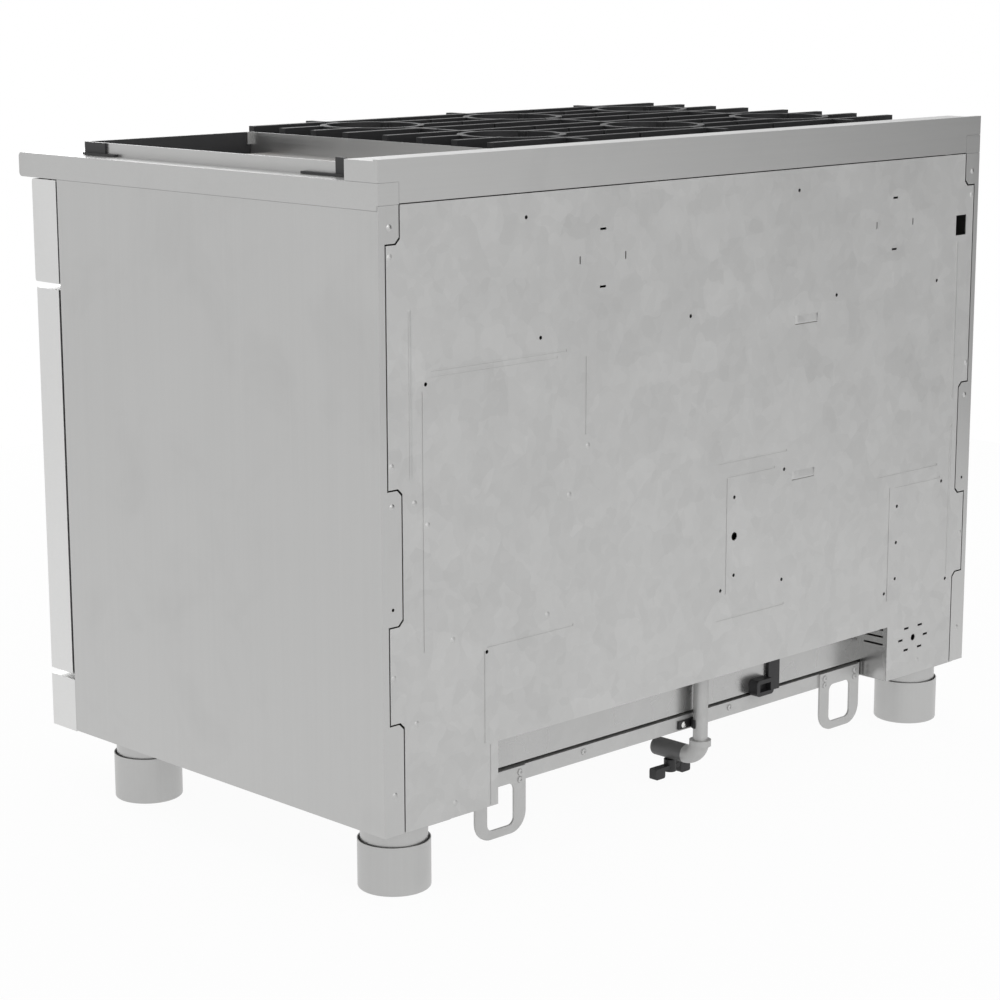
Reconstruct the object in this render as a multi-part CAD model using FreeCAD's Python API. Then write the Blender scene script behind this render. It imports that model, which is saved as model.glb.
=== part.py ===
import FreeCAD, Part
import math
import os

# Commercial gas range, 48 inch class: six open burners, a griddle, a large and a small oven.
# Millimetres, +Z up. X runs to the cook's right, the front faces -Y, the flat rear face looks along +Y.
# The origin is on the floor, below the middle of the whole range.
# A depth is counted forward from the rear face.

# ---- driving sizes -----------------------------------------------------------------------------
WIDTH = 1216.0             # over the side panels
BODY_DEPTH = 657.0         # rear face to the front edge of the side panels
DOOR_THICKNESS = 56.0
DOOR_GAP = 3.0             # behind a closed door and behind the control panel
WORKTOP_OVERHANG = 29.5    # worktop nose beyond the door faces
HANDLE_REACH = 60.0        # handle bar beyond the door faces

FLOOR_GAP = 92.0           # floor to the chassis
KICK_HEIGHT = 74.5
FRONT_GAP = 8.5            # between the kick plate, the doors and the control panel
DOOR_HEIGHT = 547.0
PANEL_HEIGHT = 142.0
WORKTOP_GAP = 1.5
WORKTOP_BAND = 33.0        # height of the worktop's turned-down edge
BAND_WRAP = 34.0           # side band's return on the rear face
NOSE_R = 6.0
NOSE_LIP = 22.0
TRIM_HEIGHT = 28.0         # rear trim above the worktop
TRIM_DEPTH = 60.0
TRIM_LIP = 8.0             # raised strip along the trim's rear edge
TRIM_LIP_HEIGHT = 2.0
TRIM_SKIRT_GAP = 1.5
FLUE_PITCH = 46.0          # slots in the trim's front
FLUE_LENGTH = 30.0
FLUE_HEIGHT = 6.0

SHEET = 1.2                # casing sheet
PLATE = 1.5                # worktop, trim and control panel sheet
SEAM = 0.3                 # between sheets that meet edge to edge
TAB_GAP = 2.0              # dark joint between the rear panel and the side flanges
FLANGE_NARROW = 10.0       # rear flange of a side panel, between its tabs
FLANGE_WIDE = 33.0         # and at its tabs
FLANGE_CHAMFER = 7.0
FLANGE_RISE = 6.0          # rear flange above the worktop band's lower edge
LOW_TAB_TOP = 143.0        # tabs, above the chassis' lower edge
MIDDLE_TAB = (270.0, 440.0)
TOP_TAB_LENGTH = 46.0
FRONT_FLANGE = 18.0
PANEL_HOLE_R = 2.6
BACKGUARD_INSETS = (249.0, -427.0)     # from the right side, and from the left
BACKGUARD_DROP = 30.0
WINDOW_INSETS = (29.0, 54.0)           # small cable window, from the left side
WINDOW_DROPS = (121.0, 91.0)           # and below the flange's top
LANCED_RISES = (348.0, 572.0)
GROOVE_DEPTH = 0.6
GROOVE_WIDTH = 3.0
RIVET_R = 4.2              # low round heads on the rear face
RIVET_HEIGHT = 1.2
RIVET_SINK = 0.3           # head's edge below the sheet's face
RIVET_LINE = 17.5          # rivets along each side, inside the side panel's face
FLANGE_HOLE_RISE = 291.5   # hole in each middle tab
FLANGE_HOLE_R = 2.2

SMALL_DOOR_WIDTH = 458.0
BETWEEN_DOORS = 4.0
LINER_STEP = 5.0           # door liner inside the door skin's outline
LINER_DEPTH = 20.0
SKIN_SETBACK = 1.6         # rear edge of the door skin before the door's back
HINGE_DEPTH = 17.0         # pivot behind the door's face
HINGE_HEIGHT = 15.0        # pivot above the door's lower edge
HINGE_PIN_R = 4.0
RUNNING = 0.06             # radial clearance of a running fit
HINGE_PLATE = 4.0
HINGE_SLOT = 6.0
HINGE_EYE_R = 7.0
HINGE_PLATE_RISE = 3.0     # plate above the door's lower edge
HINGE_PLATE_HEIGHT = 10.0
HINGE_INSET = 30.0         # hinge plate from the door's end
HANDLE_R = 12.0
HANDLE_DROP = 34.0         # bar below the door's upper edge
HANDLE_INSET = 52.0        # bar's end from the door's end
POST_INSET = 40.0          # post's axis from the bar's end
POST_R = 8.0
DOOR_EDGE_R = 4.0
PRESS_MARGIN = 62.0        # pressed field of the door's face, inside its outline
PRESS_TOP_MARGIN = 104.0
PRESS_DEPTH = 3.0
PRESS_CORNER = 14.0
LINER_RIM = 20.0           # folded rim of the door liner
PIN_REACH = 12.0           # hinge pin each side of its plate
HINGE_BLOCK = 40.0

OVEN_WALL = 24.0           # enamelled liner and insulation together
LINER_SHEET = 1.5
LEDGE = 9.0                # rack ledge on the liner's side
LEDGE_HEIGHT = 3.2
OVEN_SIDE_MARGIN = 22.0    # oven's outer face inside its door's end
OVEN_BACK_GAP = 68.0       # rear face to the oven's back
OVEN_LIFT = 16.0           # oven's outer floor above the door's lower edge
OVEN_DROP = 34.0           # oven's outer roof below the door's upper edge
RACK_WIRE_R = 2.5
RACK_LEVELS = 2
RACK_SIDE_GAP = 0.5
RACK_PITCH = 30.0

RECESS_INSETS = (197.5, 194.5)     # gas connection recess, from the right and the left side
RECESS_HEIGHT = 85.0
RECESS_DEPTH = 50.0
RAIL_HEIGHT = 21.0
RAIL_FLANGE = 22.0
LOOP_INSETS = (50.5, 53.5)         # loops' middles from the recess's ends
LOOP_WIDTH = 94.0
LOOP_WINDOW_WIDTH = 50.0
LOOP_WINDOW_HEIGHT = 58.0
LOOP_DROP = 69.0           # loop's lowest edge below the chassis
LOOP_BOTTOM_BAR = 12.0
LOOP_THICKNESS = 3.0
LOOP_CORNER = 28.0
LOOP_WINDOW_CORNER = 10.0
LOUVRE_DROPS = (6.0, 17.0, 29.0)       # below the recess's top
LOUVRE_GAP = 3.0
PAN_LIP = 30.0             # upturned edge of the base pan
MIDDLE_RAIL_RISE = 8.0     # rail below the valves, above the control panel's lower edge
RAIL_FOLD = 20.0
TOP_RAIL_HEIGHT = 12.0
RUNNER_SHEET = 2.0
RUNNER_INSET = 30.0
RUNNER_HEAD = 26.0

PIPE_X = -27.0
PIPE_R = 10.65             # half-inch gas pipe
PIPE_BORE_R = 7.9
ELBOW_R = 13.5
COLLAR_R = 15.6
COLLAR_HEIGHT = 9.0
ELBOW_Z = 50.0             # height of the gas valve's axis
ELBOW_REACH = 27.0
VALVE_R = 13.5
VALVE_LENGTH = 58.0
INLET_R = 9.3              # threaded gas inlet of the shut-off valve
INLET_DEPTH = 16.0
HANDLE_AXIS_SETBACK = 30.0     # shut-off handle's axis beyond the elbow's end
HANDLE_STEM_R = 4.5
CLAMP_WALL = 2.5
CLAMP_GAP = 1.85           # clamp's ring to the rail's face
CLAMP_EAR = 33.0
INLET_OFFSET = 142.0       # power inlet's middle, to the left of the pipe
INLET_WIDTH = 38.0
INLET_HEIGHT = 24.0
STRIP_WIDTH = 25.0
WING_SPAN = 74.0
WING_WIDTH = 13.0
WING_HEIGHT = 14.0

LEG_INSET = 67.0           # leg's axis from the side panel's face
LEG_FRONT_SETBACK = 77.0   # from the front edge of the side panels
LEG_REAR_DEPTH = 58.0
LEG_TUBE_R = 44.0
LEG_TUBE_WALL = 2.0
LEG_SLEEVE_WALL = 3.7      # foot's sleeve round the tube
LEG_SLEEVE_HEIGHT = 65.4
LEG_CAP = 4.0
LEG_PLATE = 4.0            # plate that fastens each leg below the base pan
LEG_PLATE_REACH = 53.0     # its end, from the leg's axis toward the middle of the range
LEG_PLATE_SIDE = 52.0      # and toward the side panel
LEG_PLATE_HALF = 50.0      # half its depth
SLEEVE_MOUTH = 8.0         # depth of the wider mouth of a foot's sleeve
SLEEVE_LIP = 1.5           # sleeve's wall at its mouth
FOOT_FLOOR = 6.0
LEG_TUBE_CLEAR = 26.0      # inner tube's lower end above the foot's floor

GRIDDLE_BAY = 286.0        # between the outer faces of the two side guards
GUARD_MARGIN = 40.0        # right guard inside the worktop's edge
GUARD_HEIGHT = 17.5        # above the worktop
GUARD_SHEET = 2.0
GRIDDLE_SETBACK = 108.5    # black front wall behind the worktop's nose
GRIDDLE_REAR = 100.0
GRIDDLE_PLATE = 12.0
GRIDDLE_SINK = 10.0        # plate's face below the worktop
TROUGH_WIDTH = 34.0
BRACKET_SHEET = 3.0
BRACKET_FOOT = 7.0
GUARD_FOLD = 14.0

GRATE_COLUMNS = 3
GRATE_ROWS = 2
GRATE_SETBACK = 44.5       # grates behind the worktop's nose
GRATE_REAR_DEPTH = 125.0
GRATE_LEFT_MARGIN = 8.0    # left grates inside the worktop's edge
GRATE_GUARD_GAP = 20.0     # right grates from the griddle's left guard
GRATE_GAP = 4.0
GRATE_HEIGHT = 23.5
GRATE_FRAME_HEIGHT = 11.0
GRATE_BAR = 11.0
GRATE_RING_R = 72.0
GRATE_FINGER_PITCH = 69.0
BURNER_R = 46.0
BURNER_CAP_R = 38.0
WELL_DEPTH = 32.0
WELL_LIP = 24.0            # worktop left around the wells' opening
WELL_FLANGE = 8.0
BURNER_HOLE_R = 24.0
BURNER_BORE_R = 14.0
BURNER_PORTS = 24
PORT_R = 1.4
THROAT_DROP = 10.0         # burner's throat below the well's floor

KNOB_COUNT = 9
KNOB_R = 26.0
KNOB_LENGTH = 30.0
KNOB_PUSH = 3.0
SKIRT = 6.0
SPINDLE_GRIP = 14.0        # spindle inside the knob
KNOB_STAND = 4.5           # knob's back before the panel's face
KNOB_Z_SHARE = 0.5
STEM_R = 4.0
PLUG_R = 8.0
PLUG_LENGTH = 18.0
VALVE_BODY_R = 15.0
MANIFOLD_R = 13.0
MANIFOLD_WALL = 2.8
MANIFOLD_SETBACK = 57.0    # behind the front edge of the side panels
COCK_SETBACK = 7.0         # cocks' front ends, behind the same edge
BURNER_TUBE_R = 6.0
TUBE_RISE = 14.0           # supply tubes above the manifold
REAR_TUBE_OFFSET = 28.0    # a rear burner's tube passes beside the front burner

# ---- sizes worked out from them ----------------------------------------------------------------
HALF = WIDTH / 2
FACE_DEPTH = BODY_DEPTH + DOOR_GAP + DOOR_THICKNESS
OVERALL_DEPTH = FACE_DEPTH + HANDLE_REACH
REAR_Y = (OVERALL_DEPTH - RIVET_HEIGHT) / 2
KICK_TOP = FLOOR_GAP + KICK_HEIGHT
DOOR_BOTTOM = KICK_TOP + FRONT_GAP
DOOR_TOP = DOOR_BOTTOM + DOOR_HEIGHT
PANEL_BOTTOM = DOOR_TOP + FRONT_GAP
PANEL_TOP = PANEL_BOTTOM + PANEL_HEIGHT
BAND_BOTTOM = PANEL_TOP + WORKTOP_GAP
WORKTOP_Z = BAND_BOTTOM + WORKTOP_BAND
TRIM_TOP = WORKTOP_Z + TRIM_HEIGHT
WORKTOP_DEPTH = FACE_DEPTH + WORKTOP_OVERHANG
DOOR_DIVIDE = HALF - SMALL_DOOR_WIDTH
SMALL_DOOR = (DOOR_DIVIDE, HALF)
LARGE_DOOR = (-HALF, DOOR_DIVIDE - BETWEEN_DOORS)
PANEL_BACK = BODY_DEPTH + DOOR_GAP
GRIDDLE_FRONT = WORKTOP_DEPTH - GRIDDLE_SETBACK
GRATE_FRONT_DEPTH = WORKTOP_DEPTH - GRATE_SETBACK
GUARD_RIGHT = HALF - GUARD_MARGIN
GUARD_LEFT = GUARD_RIGHT - GRIDDLE_BAY
GRATE_ZONE = (-HALF + GRATE_LEFT_MARGIN, GUARD_LEFT - GRATE_GUARD_GAP)
GRATE_WIDTH = (GRATE_ZONE[1] - GRATE_ZONE[0] - GRATE_GAP * (GRATE_COLUMNS - 1)) / GRATE_COLUMNS
GRATE_LENGTH = (GRATE_FRONT_DEPTH - GRATE_REAR_DEPTH - GRATE_GAP * (GRATE_ROWS - 1)) / GRATE_ROWS
KNOB_Z = PANEL_BOTTOM + KNOB_Z_SHARE * PANEL_HEIGHT
KNOB_PITCH = (WIDTH - 4 * KNOB_R) / KNOB_COUNT
LEG_X = HALF - LEG_INSET
LEG_FRONT_DEPTH = BODY_DEPTH - LEG_FRONT_SETBACK
LEG_SLEEVE_R = LEG_TUBE_R + LEG_SLEEVE_WALL
RECESS_RIGHT = HALF - RECESS_INSETS[0]
RECESS_LEFT = HALF - RECESS_INSETS[1]
LOOP_PLACES = (RECESS_RIGHT - LOOP_INSETS[0], LOOP_INSETS[1] - RECESS_LEFT)
PIPE_DEPTH = RECESS_DEPTH - CLAMP_GAP - CLAMP_WALL - PIPE_R
ELBOW_END = PIPE_DEPTH + ELBOW_REACH
HANDLE_AXIS = ELBOW_END + HANDLE_AXIS_SETBACK
VALVE_END = ELBOW_END + SEAM + VALVE_LENGTH
MANIFOLD_DEPTH = BODY_DEPTH - MANIFOLD_SETBACK
COCK_END = BODY_DEPTH - COCK_SETBACK
KNOB_BACK = FACE_DEPTH + KNOB_STAND
HINGE_AXIS_DEPTH = FACE_DEPTH - HINGE_DEPTH
HINGE_AXIS_Z = DOOR_BOTTOM + HINGE_HEIGHT
HINGE_PLATE_LOW = DOOR_BOTTOM + HINGE_PLATE_RISE
HINGE_PLATE_HIGH = HINGE_PLATE_LOW + HINGE_PLATE_HEIGHT
GUARD_TOP = WORKTOP_Z + GUARD_HEIGHT
GRIDDLE_TOP = WORKTOP_Z - GRIDDLE_SINK
GRIDDLE_BASE = GRIDDLE_TOP - GRIDDLE_PLATE
WELL_FLOOR_Z = WORKTOP_Z - WELL_DEPTH
GRATE_Z = WORKTOP_Z + SEAM
GRATE_TOP = WORKTOP_Z + GRATE_HEIGHT
OVEN_BOTTOM = DOOR_BOTTOM + OVEN_LIFT
OVEN_TOP = DOOR_TOP - OVEN_DROP
RECESS_TOP = FLOOR_GAP + RECESS_HEIGHT
UNDERSIDE = FLOOR_GAP + SHEET
FLANGE_TOP = BAND_BOTTOM + FLANGE_RISE


# ---- shape helpers -----------------------------------------------------------------------------
def y_at(depth):
    """Y of a plane that lies this far forward of the rear face."""
    return REAR_Y - depth


def box(x0, x1, d0, d1, z0, z1):
    """Box between two X, two depths (d0 nearer the rear) and two heights."""
    return Part.makeBox(x1 - x0, d1 - d0, z1 - z0, FreeCAD.Vector(x0, y_at(d1), z0))


def upright(x, depth, z0, z1, r):
    return Part.makeCylinder(r, z1 - z0, FreeCAD.Vector(x, y_at(depth), z0))


def forward(x, z, d0, d1, r):
    """Round bar along the depth, from d0 to d1."""
    return Part.makeCylinder(r, d1 - d0, FreeCAD.Vector(x, y_at(d0), z), FreeCAD.Vector(0, -1, 0))


def across(x0, x1, depth, z, r):
    return Part.makeCylinder(r, x1 - x0, FreeCAD.Vector(x0, y_at(depth), z), FreeCAD.Vector(1, 0, 0))


def front_edges(shape, depth):
    """Edges along X that lie on the front plane at this depth."""
    found = []
    for edge in shape.Edges:
        if edge.BoundBox.XLength > 10 and edge.BoundBox.YMax < y_at(depth) + 1:
            found.append(edge)
    return found


def join(shapes):
    first = shapes[0]
    whole = first.multiFuse(shapes[1:]) if len(shapes) > 1 else first
    return whole.removeSplitter()


def export(name, *shapes):
    """Write one node: one solid, or several solids that stay apart."""
    solids = [solid for shape in shapes for solid in shape.Solids]
    shape = solids[0] if len(solids) == 1 else Part.makeCompound(solids)
    shape.exportStep("parts/" + name + ".step")


def mirrored(shape):
    return shape.mirror(FreeCAD.Vector(0, 0, 0), FreeCAD.Vector(1, 0, 0))


def rounded_slab(x0, x1, d0, d1, z0, z1, r, axis):
    """Box with its four edges along X ("x"), Y ("y") or Z ("z") rounded."""
    slab = box(x0, x1, d0, d1, z0, z1)
    along = {"x": FreeCAD.Vector(1, 0, 0), "y": FreeCAD.Vector(0, 1, 0), "z": FreeCAD.Vector(0, 0, 1)}[axis]
    edges = [e for e in slab.Edges if abs(abs(e.tangentAt(e.FirstParameter).dot(along)) - 1) < 1e-6]
    return slab.makeFillet(r, edges)


# ---- casing ------------------------------------------------------------------------------------


def flange_outline(extra):
    """Stepped outline of a side panel's rear flange, grown by extra all round, as points in X and Z."""
    narrow = HALF - FLANGE_NARROW - extra
    wide = HALF - FLANGE_WIDE - extra
    points = [(HALF, FLOOR_GAP)]
    rise = FLANGE_TOP - FLOOR_GAP
    for low, high in ((0, LOW_TAB_TOP), MIDDLE_TAB, (rise - TOP_TAB_LENGTH, rise)):
        z0 = FLOOR_GAP + low - (extra if low else 0)
        z1 = min(FLOOR_GAP + high + extra, FLANGE_TOP)
        if low:
            points += [(narrow, z0), (wide + FLANGE_CHAMFER, z0), (wide, z0 + FLANGE_CHAMFER)]
        else:
            points += [(wide, z0)]
        if z1 < FLANGE_TOP:
            points += [(wide, z1 - FLANGE_CHAMFER), (wide + FLANGE_CHAMFER, z1), (narrow, z1)]
        else:
            points += [(wide, z1)]
    points += [(HALF, FLANGE_TOP)]
    return points


def rear_plate(points, d0, d1):
    """Plate on the rear face with an outline given in X and Z."""
    corners = [FreeCAD.Vector(x, y_at(d1), z) for x, z in points]
    face = Part.Face(Part.makePolygon(corners + corners[:1]))
    return face.extrude(FreeCAD.Vector(0, d1 - d0, 0))


def rivet(x, z):
    """Low domed head on the rear face: a cap of a ball, sunk a little into the sheet."""
    ball = (RIVET_R ** 2 + RIVET_HEIGHT ** 2) / (2 * RIVET_HEIGHT)
    middle = ball - RIVET_HEIGHT
    start = math.degrees(math.asin((middle - RIVET_SINK) / ball))
    out = FreeCAD.Vector(0, 1, 0)
    return Part.makeSphere(ball, FreeCAD.Vector(x, y_at(middle), z), out, start, 90, 360)


def tab_rivets():
    """Places of the rivets in the tabs of the right side panel."""
    heights = (above_base(52.5), above_base(420.5), below_top(26.5))
    return [(HALF - RIVET_LINE, z) for z in heights]


def panel_rivets():
    """Places of the rivets in the rear panel: a line beside each side panel, and those of the covers."""
    heights = (above_base(204), above_base(470.5), below_top(62))
    places = [(side * (HALF - RIVET_LINE), z) for z in heights for side in (-1, 1)]
    covers = ((54.5, 420), (55, 138), (76.4, 389), (118, 235), (288, 237), (328, 391), (363, 451.5),
              (120.5, 19), (-118, 19))
    return places + [(rear_x(inset), above_base(rise)) for inset, rise in covers]


def side_panel_right():
    top = BAND_BOTTOM - SEAM
    skin = box(HALF - SHEET, HALF, 0, BODY_DEPTH, FLOOR_GAP, top)
    rear_flange = rear_plate(flange_outline(0.0), 0, SHEET)
    front_flange = box(HALF - FRONT_FLANGE, HALF, BODY_DEPTH - SHEET, BODY_DEPTH, FLOOR_GAP, top)
    hole = forward(HALF - RIVET_LINE, above_base(FLANGE_HOLE_RISE), -1, SHEET + 1, FLANGE_HOLE_R)
    return join([skin, rear_flange.cut(hole), front_flange] + [rivet(x, z) for x, z in tab_rivets()])


def rear_x(inset):
    """X of a mark on the rear panel: an inset above 0 is from the right side, one below 0 from the left."""
    return HALF - inset if inset > 0 else -HALF - inset


def below_top(drop):
    return FLANGE_TOP - drop


def above_base(rise):
    return FLOOR_GAP + rise


def through(x0, x1, z0, z1):
    """Cutter through the rear panel."""
    return box(x0, x1, -1, SHEET + 1, z0, z1)


def backguard_holes():
    return [(rear_x(inset), below_top(BACKGUARD_DROP)) for inset in BACKGUARD_INSETS]


def small_holes():
    """Places of the small round holes of the rear panel."""
    places = backguard_holes()
    places += [(rear_x(inset), below_top(185)) for inset in (275, -338, -98)]
    places += [(45, below_top(185)), (rear_x(75), below_top(222))]
    middle = ((-160, 364), (-52, 339), (-53, 227), (-25, 209), (-159, 203))
    places += [(x, above_base(rise)) for x, rise in middle]
    places += [(rear_x(-180), above_base(rise)) for rise in (270, 214, 158)]
    single = ((-206, 139), (-70, 293), (-52, 137), (178, 208))
    return places + [(rear_x(inset), above_base(rise)) for inset, rise in single]


def rear_window():
    """Small cable window high on the left of the rear panel, as two X and two heights."""
    x0, x1 = (rear_x(-inset) for inset in WINDOW_INSETS)
    z0, z1 = (below_top(drop) for drop in WINDOW_DROPS)
    return x0, x1, z0, z1


def slot_cluster(x, z):
    """Two level slots and two upright ones round a point."""
    level = [through(x - 5.8, x + 5.8, z + dz - 1.5, z + dz + 1.5) for dz in (-37.5, 37.5)]
    upright_pair = [through(x + dx - 1, x + dx + 1, z - 5, z + 5) for dx in (-43, 43)]
    return level + upright_pair


def vent(x, z):
    """Six short slots in a ring round one hole."""
    slots = []
    for dx, dz in ((17, 17), (31, 0), (17, -17)):
        slots += [through(x + s * dx - 5.5, x + s * dx + 5.5, z + dz - 1.7, z + dz + 1.7) for s in (-1, 1)]
    return slots + [forward(x, z, -1, SHEET + 1, 5)]


def groove(x0, x1, z0, z1):
    """Shallow formed line, level or upright."""
    h = GROOVE_WIDTH / 2
    return box(x0 - h, x1 + h, -1, GROOVE_DEPTH, z0 - h, z1 + h)


def formed_lines():
    """Formed lines of the rear panel: frames round the access covers, and a rib near each side."""
    right, left, base, top = rear_x, lambda inset: rear_x(-inset), above_base, below_top
    lines = [
        (right(321), right(86), base(582), base(582)), (right(304), right(84), base(575), base(575)),
        (right(68), right(68), base(229), base(556)), (right(358), right(358), base(469), base(569)),
        (right(335), right(180), base(215), base(215)), (right(173), right(173), base(89), base(208)),
        (right(183), right(183), base(4), base(82)),
        (-163, -16, base(391), base(391)), (-137, -42, base(370), base(370)),
        (-35, -35, base(204), base(366)), (-163, -17, base(167), base(167)),
        (left(84), left(227), base(321), base(321)), (left(75), left(183), base(300), base(300)),
        (left(200), left(200), base(128), base(299)),
        (left(49), left(49), base(417), top(132)), (left(49), left(49), base(143), base(377)),
        (right(49), right(49), base(451), top(130)),
    ]
    return [groove(*line) for line in lines]


def rear_panel():
    """Galvanised back: one sheet between the side flanges, with its slots, lines, window and gas recess."""
    sheet = box(-HALF + SHEET, HALF - SHEET, 0, SHEET, FLOOR_GAP, FLANGE_TOP)
    flange = rear_plate(flange_outline(TAB_GAP), -1, SHEET + 1)
    cuts = [flange, mirrored(flange)]
    cuts.append(through(-RECESS_LEFT, RECESS_RIGHT, FLOOR_GAP - 1, RECESS_TOP))
    cuts.append(through(*rear_window()))
    cuts += slot_cluster(rear_x(390), below_top(92)) + slot_cluster(rear_x(-205), below_top(92))
    cuts += vent(rear_x(-130), above_base(57.5))
    cuts.append(forward(-53, above_base(283), -1, SHEET + 1, 6))
    cuts += [forward(x, z, -1, SHEET + 1, PANEL_HOLE_R) for x, z in small_holes()]
    cuts += [through(-227, -178, above_base(rise - 3), above_base(rise + 3)) for rise in LANCED_RISES]
    plain = sheet.cut(Part.makeCompound(cuts + formed_lines()))
    return join([plain] + [rivet(x, z) for x, z in panel_rivets()])


def gas_recess_box():
    """Sheet box behind the recess: top, back and two louvred ends, with a hole for the riser."""
    x0 = -RECESS_LEFT - SHEET
    x1 = RECESS_RIGHT + SHEET
    outer = box(x0, x1, SHEET + SEAM, RECESS_DEPTH + SHEET, UNDERSIDE + SEAM, RECESS_TOP + SHEET)
    inner = box(-RECESS_LEFT, RECESS_RIGHT, 0, RECESS_DEPTH, 0, RECESS_TOP)
    foot = box(x0 + SHEET, x1 - SHEET, 0, RECESS_DEPTH + 2 * SHEET, 0, FLOOR_GAP + RAIL_HEIGHT + 5)
    riser = upright(PIPE_X, PIPE_DEPTH, RECESS_TOP - 1, RECESS_TOP + 3, PIPE_R + 2)
    louvres = []
    for drop in LOUVRE_DROPS:
        z = RECESS_TOP - drop
        for end in (x0, x1):
            low = z - LOUVRE_GAP / 2
            louvres.append(box(end - 3, end + 3, 8, RECESS_DEPTH - 6, low, low + LOUVRE_GAP))
    return outer.cut(Part.makeCompound([inner, foot, riser] + louvres))


def lift_loop(x):
    """Flat plate that hangs below the rail, with a rounded hand opening."""
    top = FLOOR_GAP + RAIL_HEIGHT
    bottom = FLOOR_GAP - LOOP_DROP
    d0 = RECESS_DEPTH - LOOP_THICKNESS
    half = LOOP_WIDTH / 2
    plate = box(x - half, x + half, d0, RECESS_DEPTH, bottom, top)
    lower = [e for e in plate.Edges if e.BoundBox.ZMax < bottom + 1 and e.BoundBox.XLength < 1]
    plate = plate.makeFillet(LOOP_CORNER, lower)
    z0 = bottom + LOOP_BOTTOM_BAR
    z1 = z0 + LOOP_WINDOW_HEIGHT
    w = LOOP_WINDOW_WIDTH / 2
    return plate.cut(rounded_slab(x - w, x + w, d0 - 1, RECESS_DEPTH + 1, z0, z1, LOOP_WINDOW_CORNER, "y"))


def rear_rail():
    """Angle under the back of the chassis: face, top flange and a return at each end."""
    x0 = -RECESS_LEFT + 1.5
    x1 = RECESS_RIGHT - 1.5
    top = FLOOR_GAP + RAIL_HEIGHT
    face = box(x0, x1, RECESS_DEPTH, RECESS_DEPTH + SHEET, FLOOR_GAP, top)
    flange = box(x0, x1, RECESS_DEPTH, RECESS_DEPTH + RAIL_FLANGE, top - SHEET, top)
    return join([face, flange])


def base_pan():
    """Bottom sheet with upturned edges; its back steps round the gas recess."""
    x = HALF - SHEET - SEAM
    front = BODY_DEPTH - SHEET - SEAM
    rear = SHEET + SEAM
    tray = box(-x, x, rear, front, FLOOR_GAP, FLOOR_GAP + PAN_LIP)
    hollow = box(-x + SHEET, x - SHEET, rear - 1, front - SHEET, UNDERSIDE, FLOOR_GAP + PAN_LIP + 1)
    clear = SHEET + SEAM
    step = box(-RECESS_LEFT - clear, RECESS_RIGHT + clear, 0, RECESS_DEPTH + clear, 0, UNDERSIDE + 1)
    return tray.cut(Part.makeCompound([hollow, step]))


def oven_outline(door):
    return door[0] + OVEN_SIDE_MARGIN, door[1] - OVEN_SIDE_MARGIN


def runners(door):
    """Two folded runners that carry an oven on the base pan."""
    x0, x1 = oven_outline(door)
    rear = OVEN_BACK_GAP + 10
    front = BODY_DEPTH - 20
    top = OVEN_BOTTOM - SEAM
    shapes = []
    for x in (x0 + RUNNER_INSET, x1 - RUNNER_INSET):
        web = box(x - RUNNER_SHEET / 2, x + RUNNER_SHEET / 2, rear, front, UNDERSIDE + SEAM, top)
        head = box(x - RUNNER_HEAD / 2, x + RUNNER_HEAD / 2, rear, front, top - RUNNER_SHEET, top)
        shapes.append(join([web, head]))
    return shapes


def front_rails():
    """Rails between the side panels' front flanges, below, between and above the openings, and a post."""
    x = HALF - FRONT_FLANGE - SEAM
    d0 = BODY_DEPTH - SHEET
    d1 = BODY_DEPTH
    low = box(-x, x, d0, d1, FLOOR_GAP + PAN_LIP + SEAM, OVEN_BOTTOM - SEAM)
    h = HINGE_PLATE / 2 + SEAM
    slot_low = HINGE_PLATE_LOW - SEAM
    slot_high = HINGE_PLATE_HIGH + SEAM
    slots = []
    for door in (LARGE_DOOR, SMALL_DOOR):
        for place in hinge_places(door):
            slots.append(box(place - h, place + h, 0, d1 + 1, slot_low, slot_high))
    middle_top = PANEL_BOTTOM + MIDDLE_RAIL_RISE
    middle = box(-x, x, d0, d1, OVEN_TOP + SEAM, middle_top)
    fold = box(-x, x, d0 - RAIL_FOLD, d1, middle_top - SHEET, middle_top)
    top = box(-x, x, d0, d1, PANEL_TOP - TOP_RAIL_HEIGHT, PANEL_TOP)
    left = oven_outline(LARGE_DOOR)[1] + SEAM
    right = oven_outline(SMALL_DOOR)[0] - SEAM
    post = box(left, right, d0, d1, OVEN_BOTTOM, OVEN_TOP)
    return [low.cut(Part.makeCompound(slots)), join([middle, fold]), top, post]


def kick_plate():
    """Front skirt: face, end returns and a top fold."""
    d1 = FACE_DEPTH - 2.5
    outer = box(-HALF, HALF, BODY_DEPTH + SEAM, d1, FLOOR_GAP - 1.4, KICK_TOP)
    inner = box(-HALF + SHEET, HALF - SHEET, BODY_DEPTH - 1, d1 - SHEET, 0, KICK_TOP - SHEET)
    return outer.cut(inner)


def knob_places():
    first = -(KNOB_COUNT - 1) / 2 * KNOB_PITCH
    return [first + k * KNOB_PITCH for k in range(KNOB_COUNT)]


def control_panel():
    """Folded box over the valves: face, ends, top and bottom, open at the back."""
    outer = box(-HALF, HALF, BODY_DEPTH + SEAM, FACE_DEPTH, PANEL_BOTTOM, PANEL_TOP)
    outer = outer.makeFillet(DOOR_EDGE_R, front_edges(outer, FACE_DEPTH))
    x = HALF - PLATE
    inner = box(-x, x, 0, FACE_DEPTH - PLATE, PANEL_BOTTOM + PLATE, PANEL_TOP - PLATE)
    holes = [forward(x, KNOB_Z, FACE_DEPTH - 5, FACE_DEPTH + 5, STEM_R + 2) for x in knob_places()]
    step = [box(s * HALF - 2, s * HALF + 2, 0, PANEL_BACK, 0, WORKTOP_Z) for s in (-1, 1)]
    return outer.cut(Part.makeCompound([inner] + holes + step))


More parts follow.
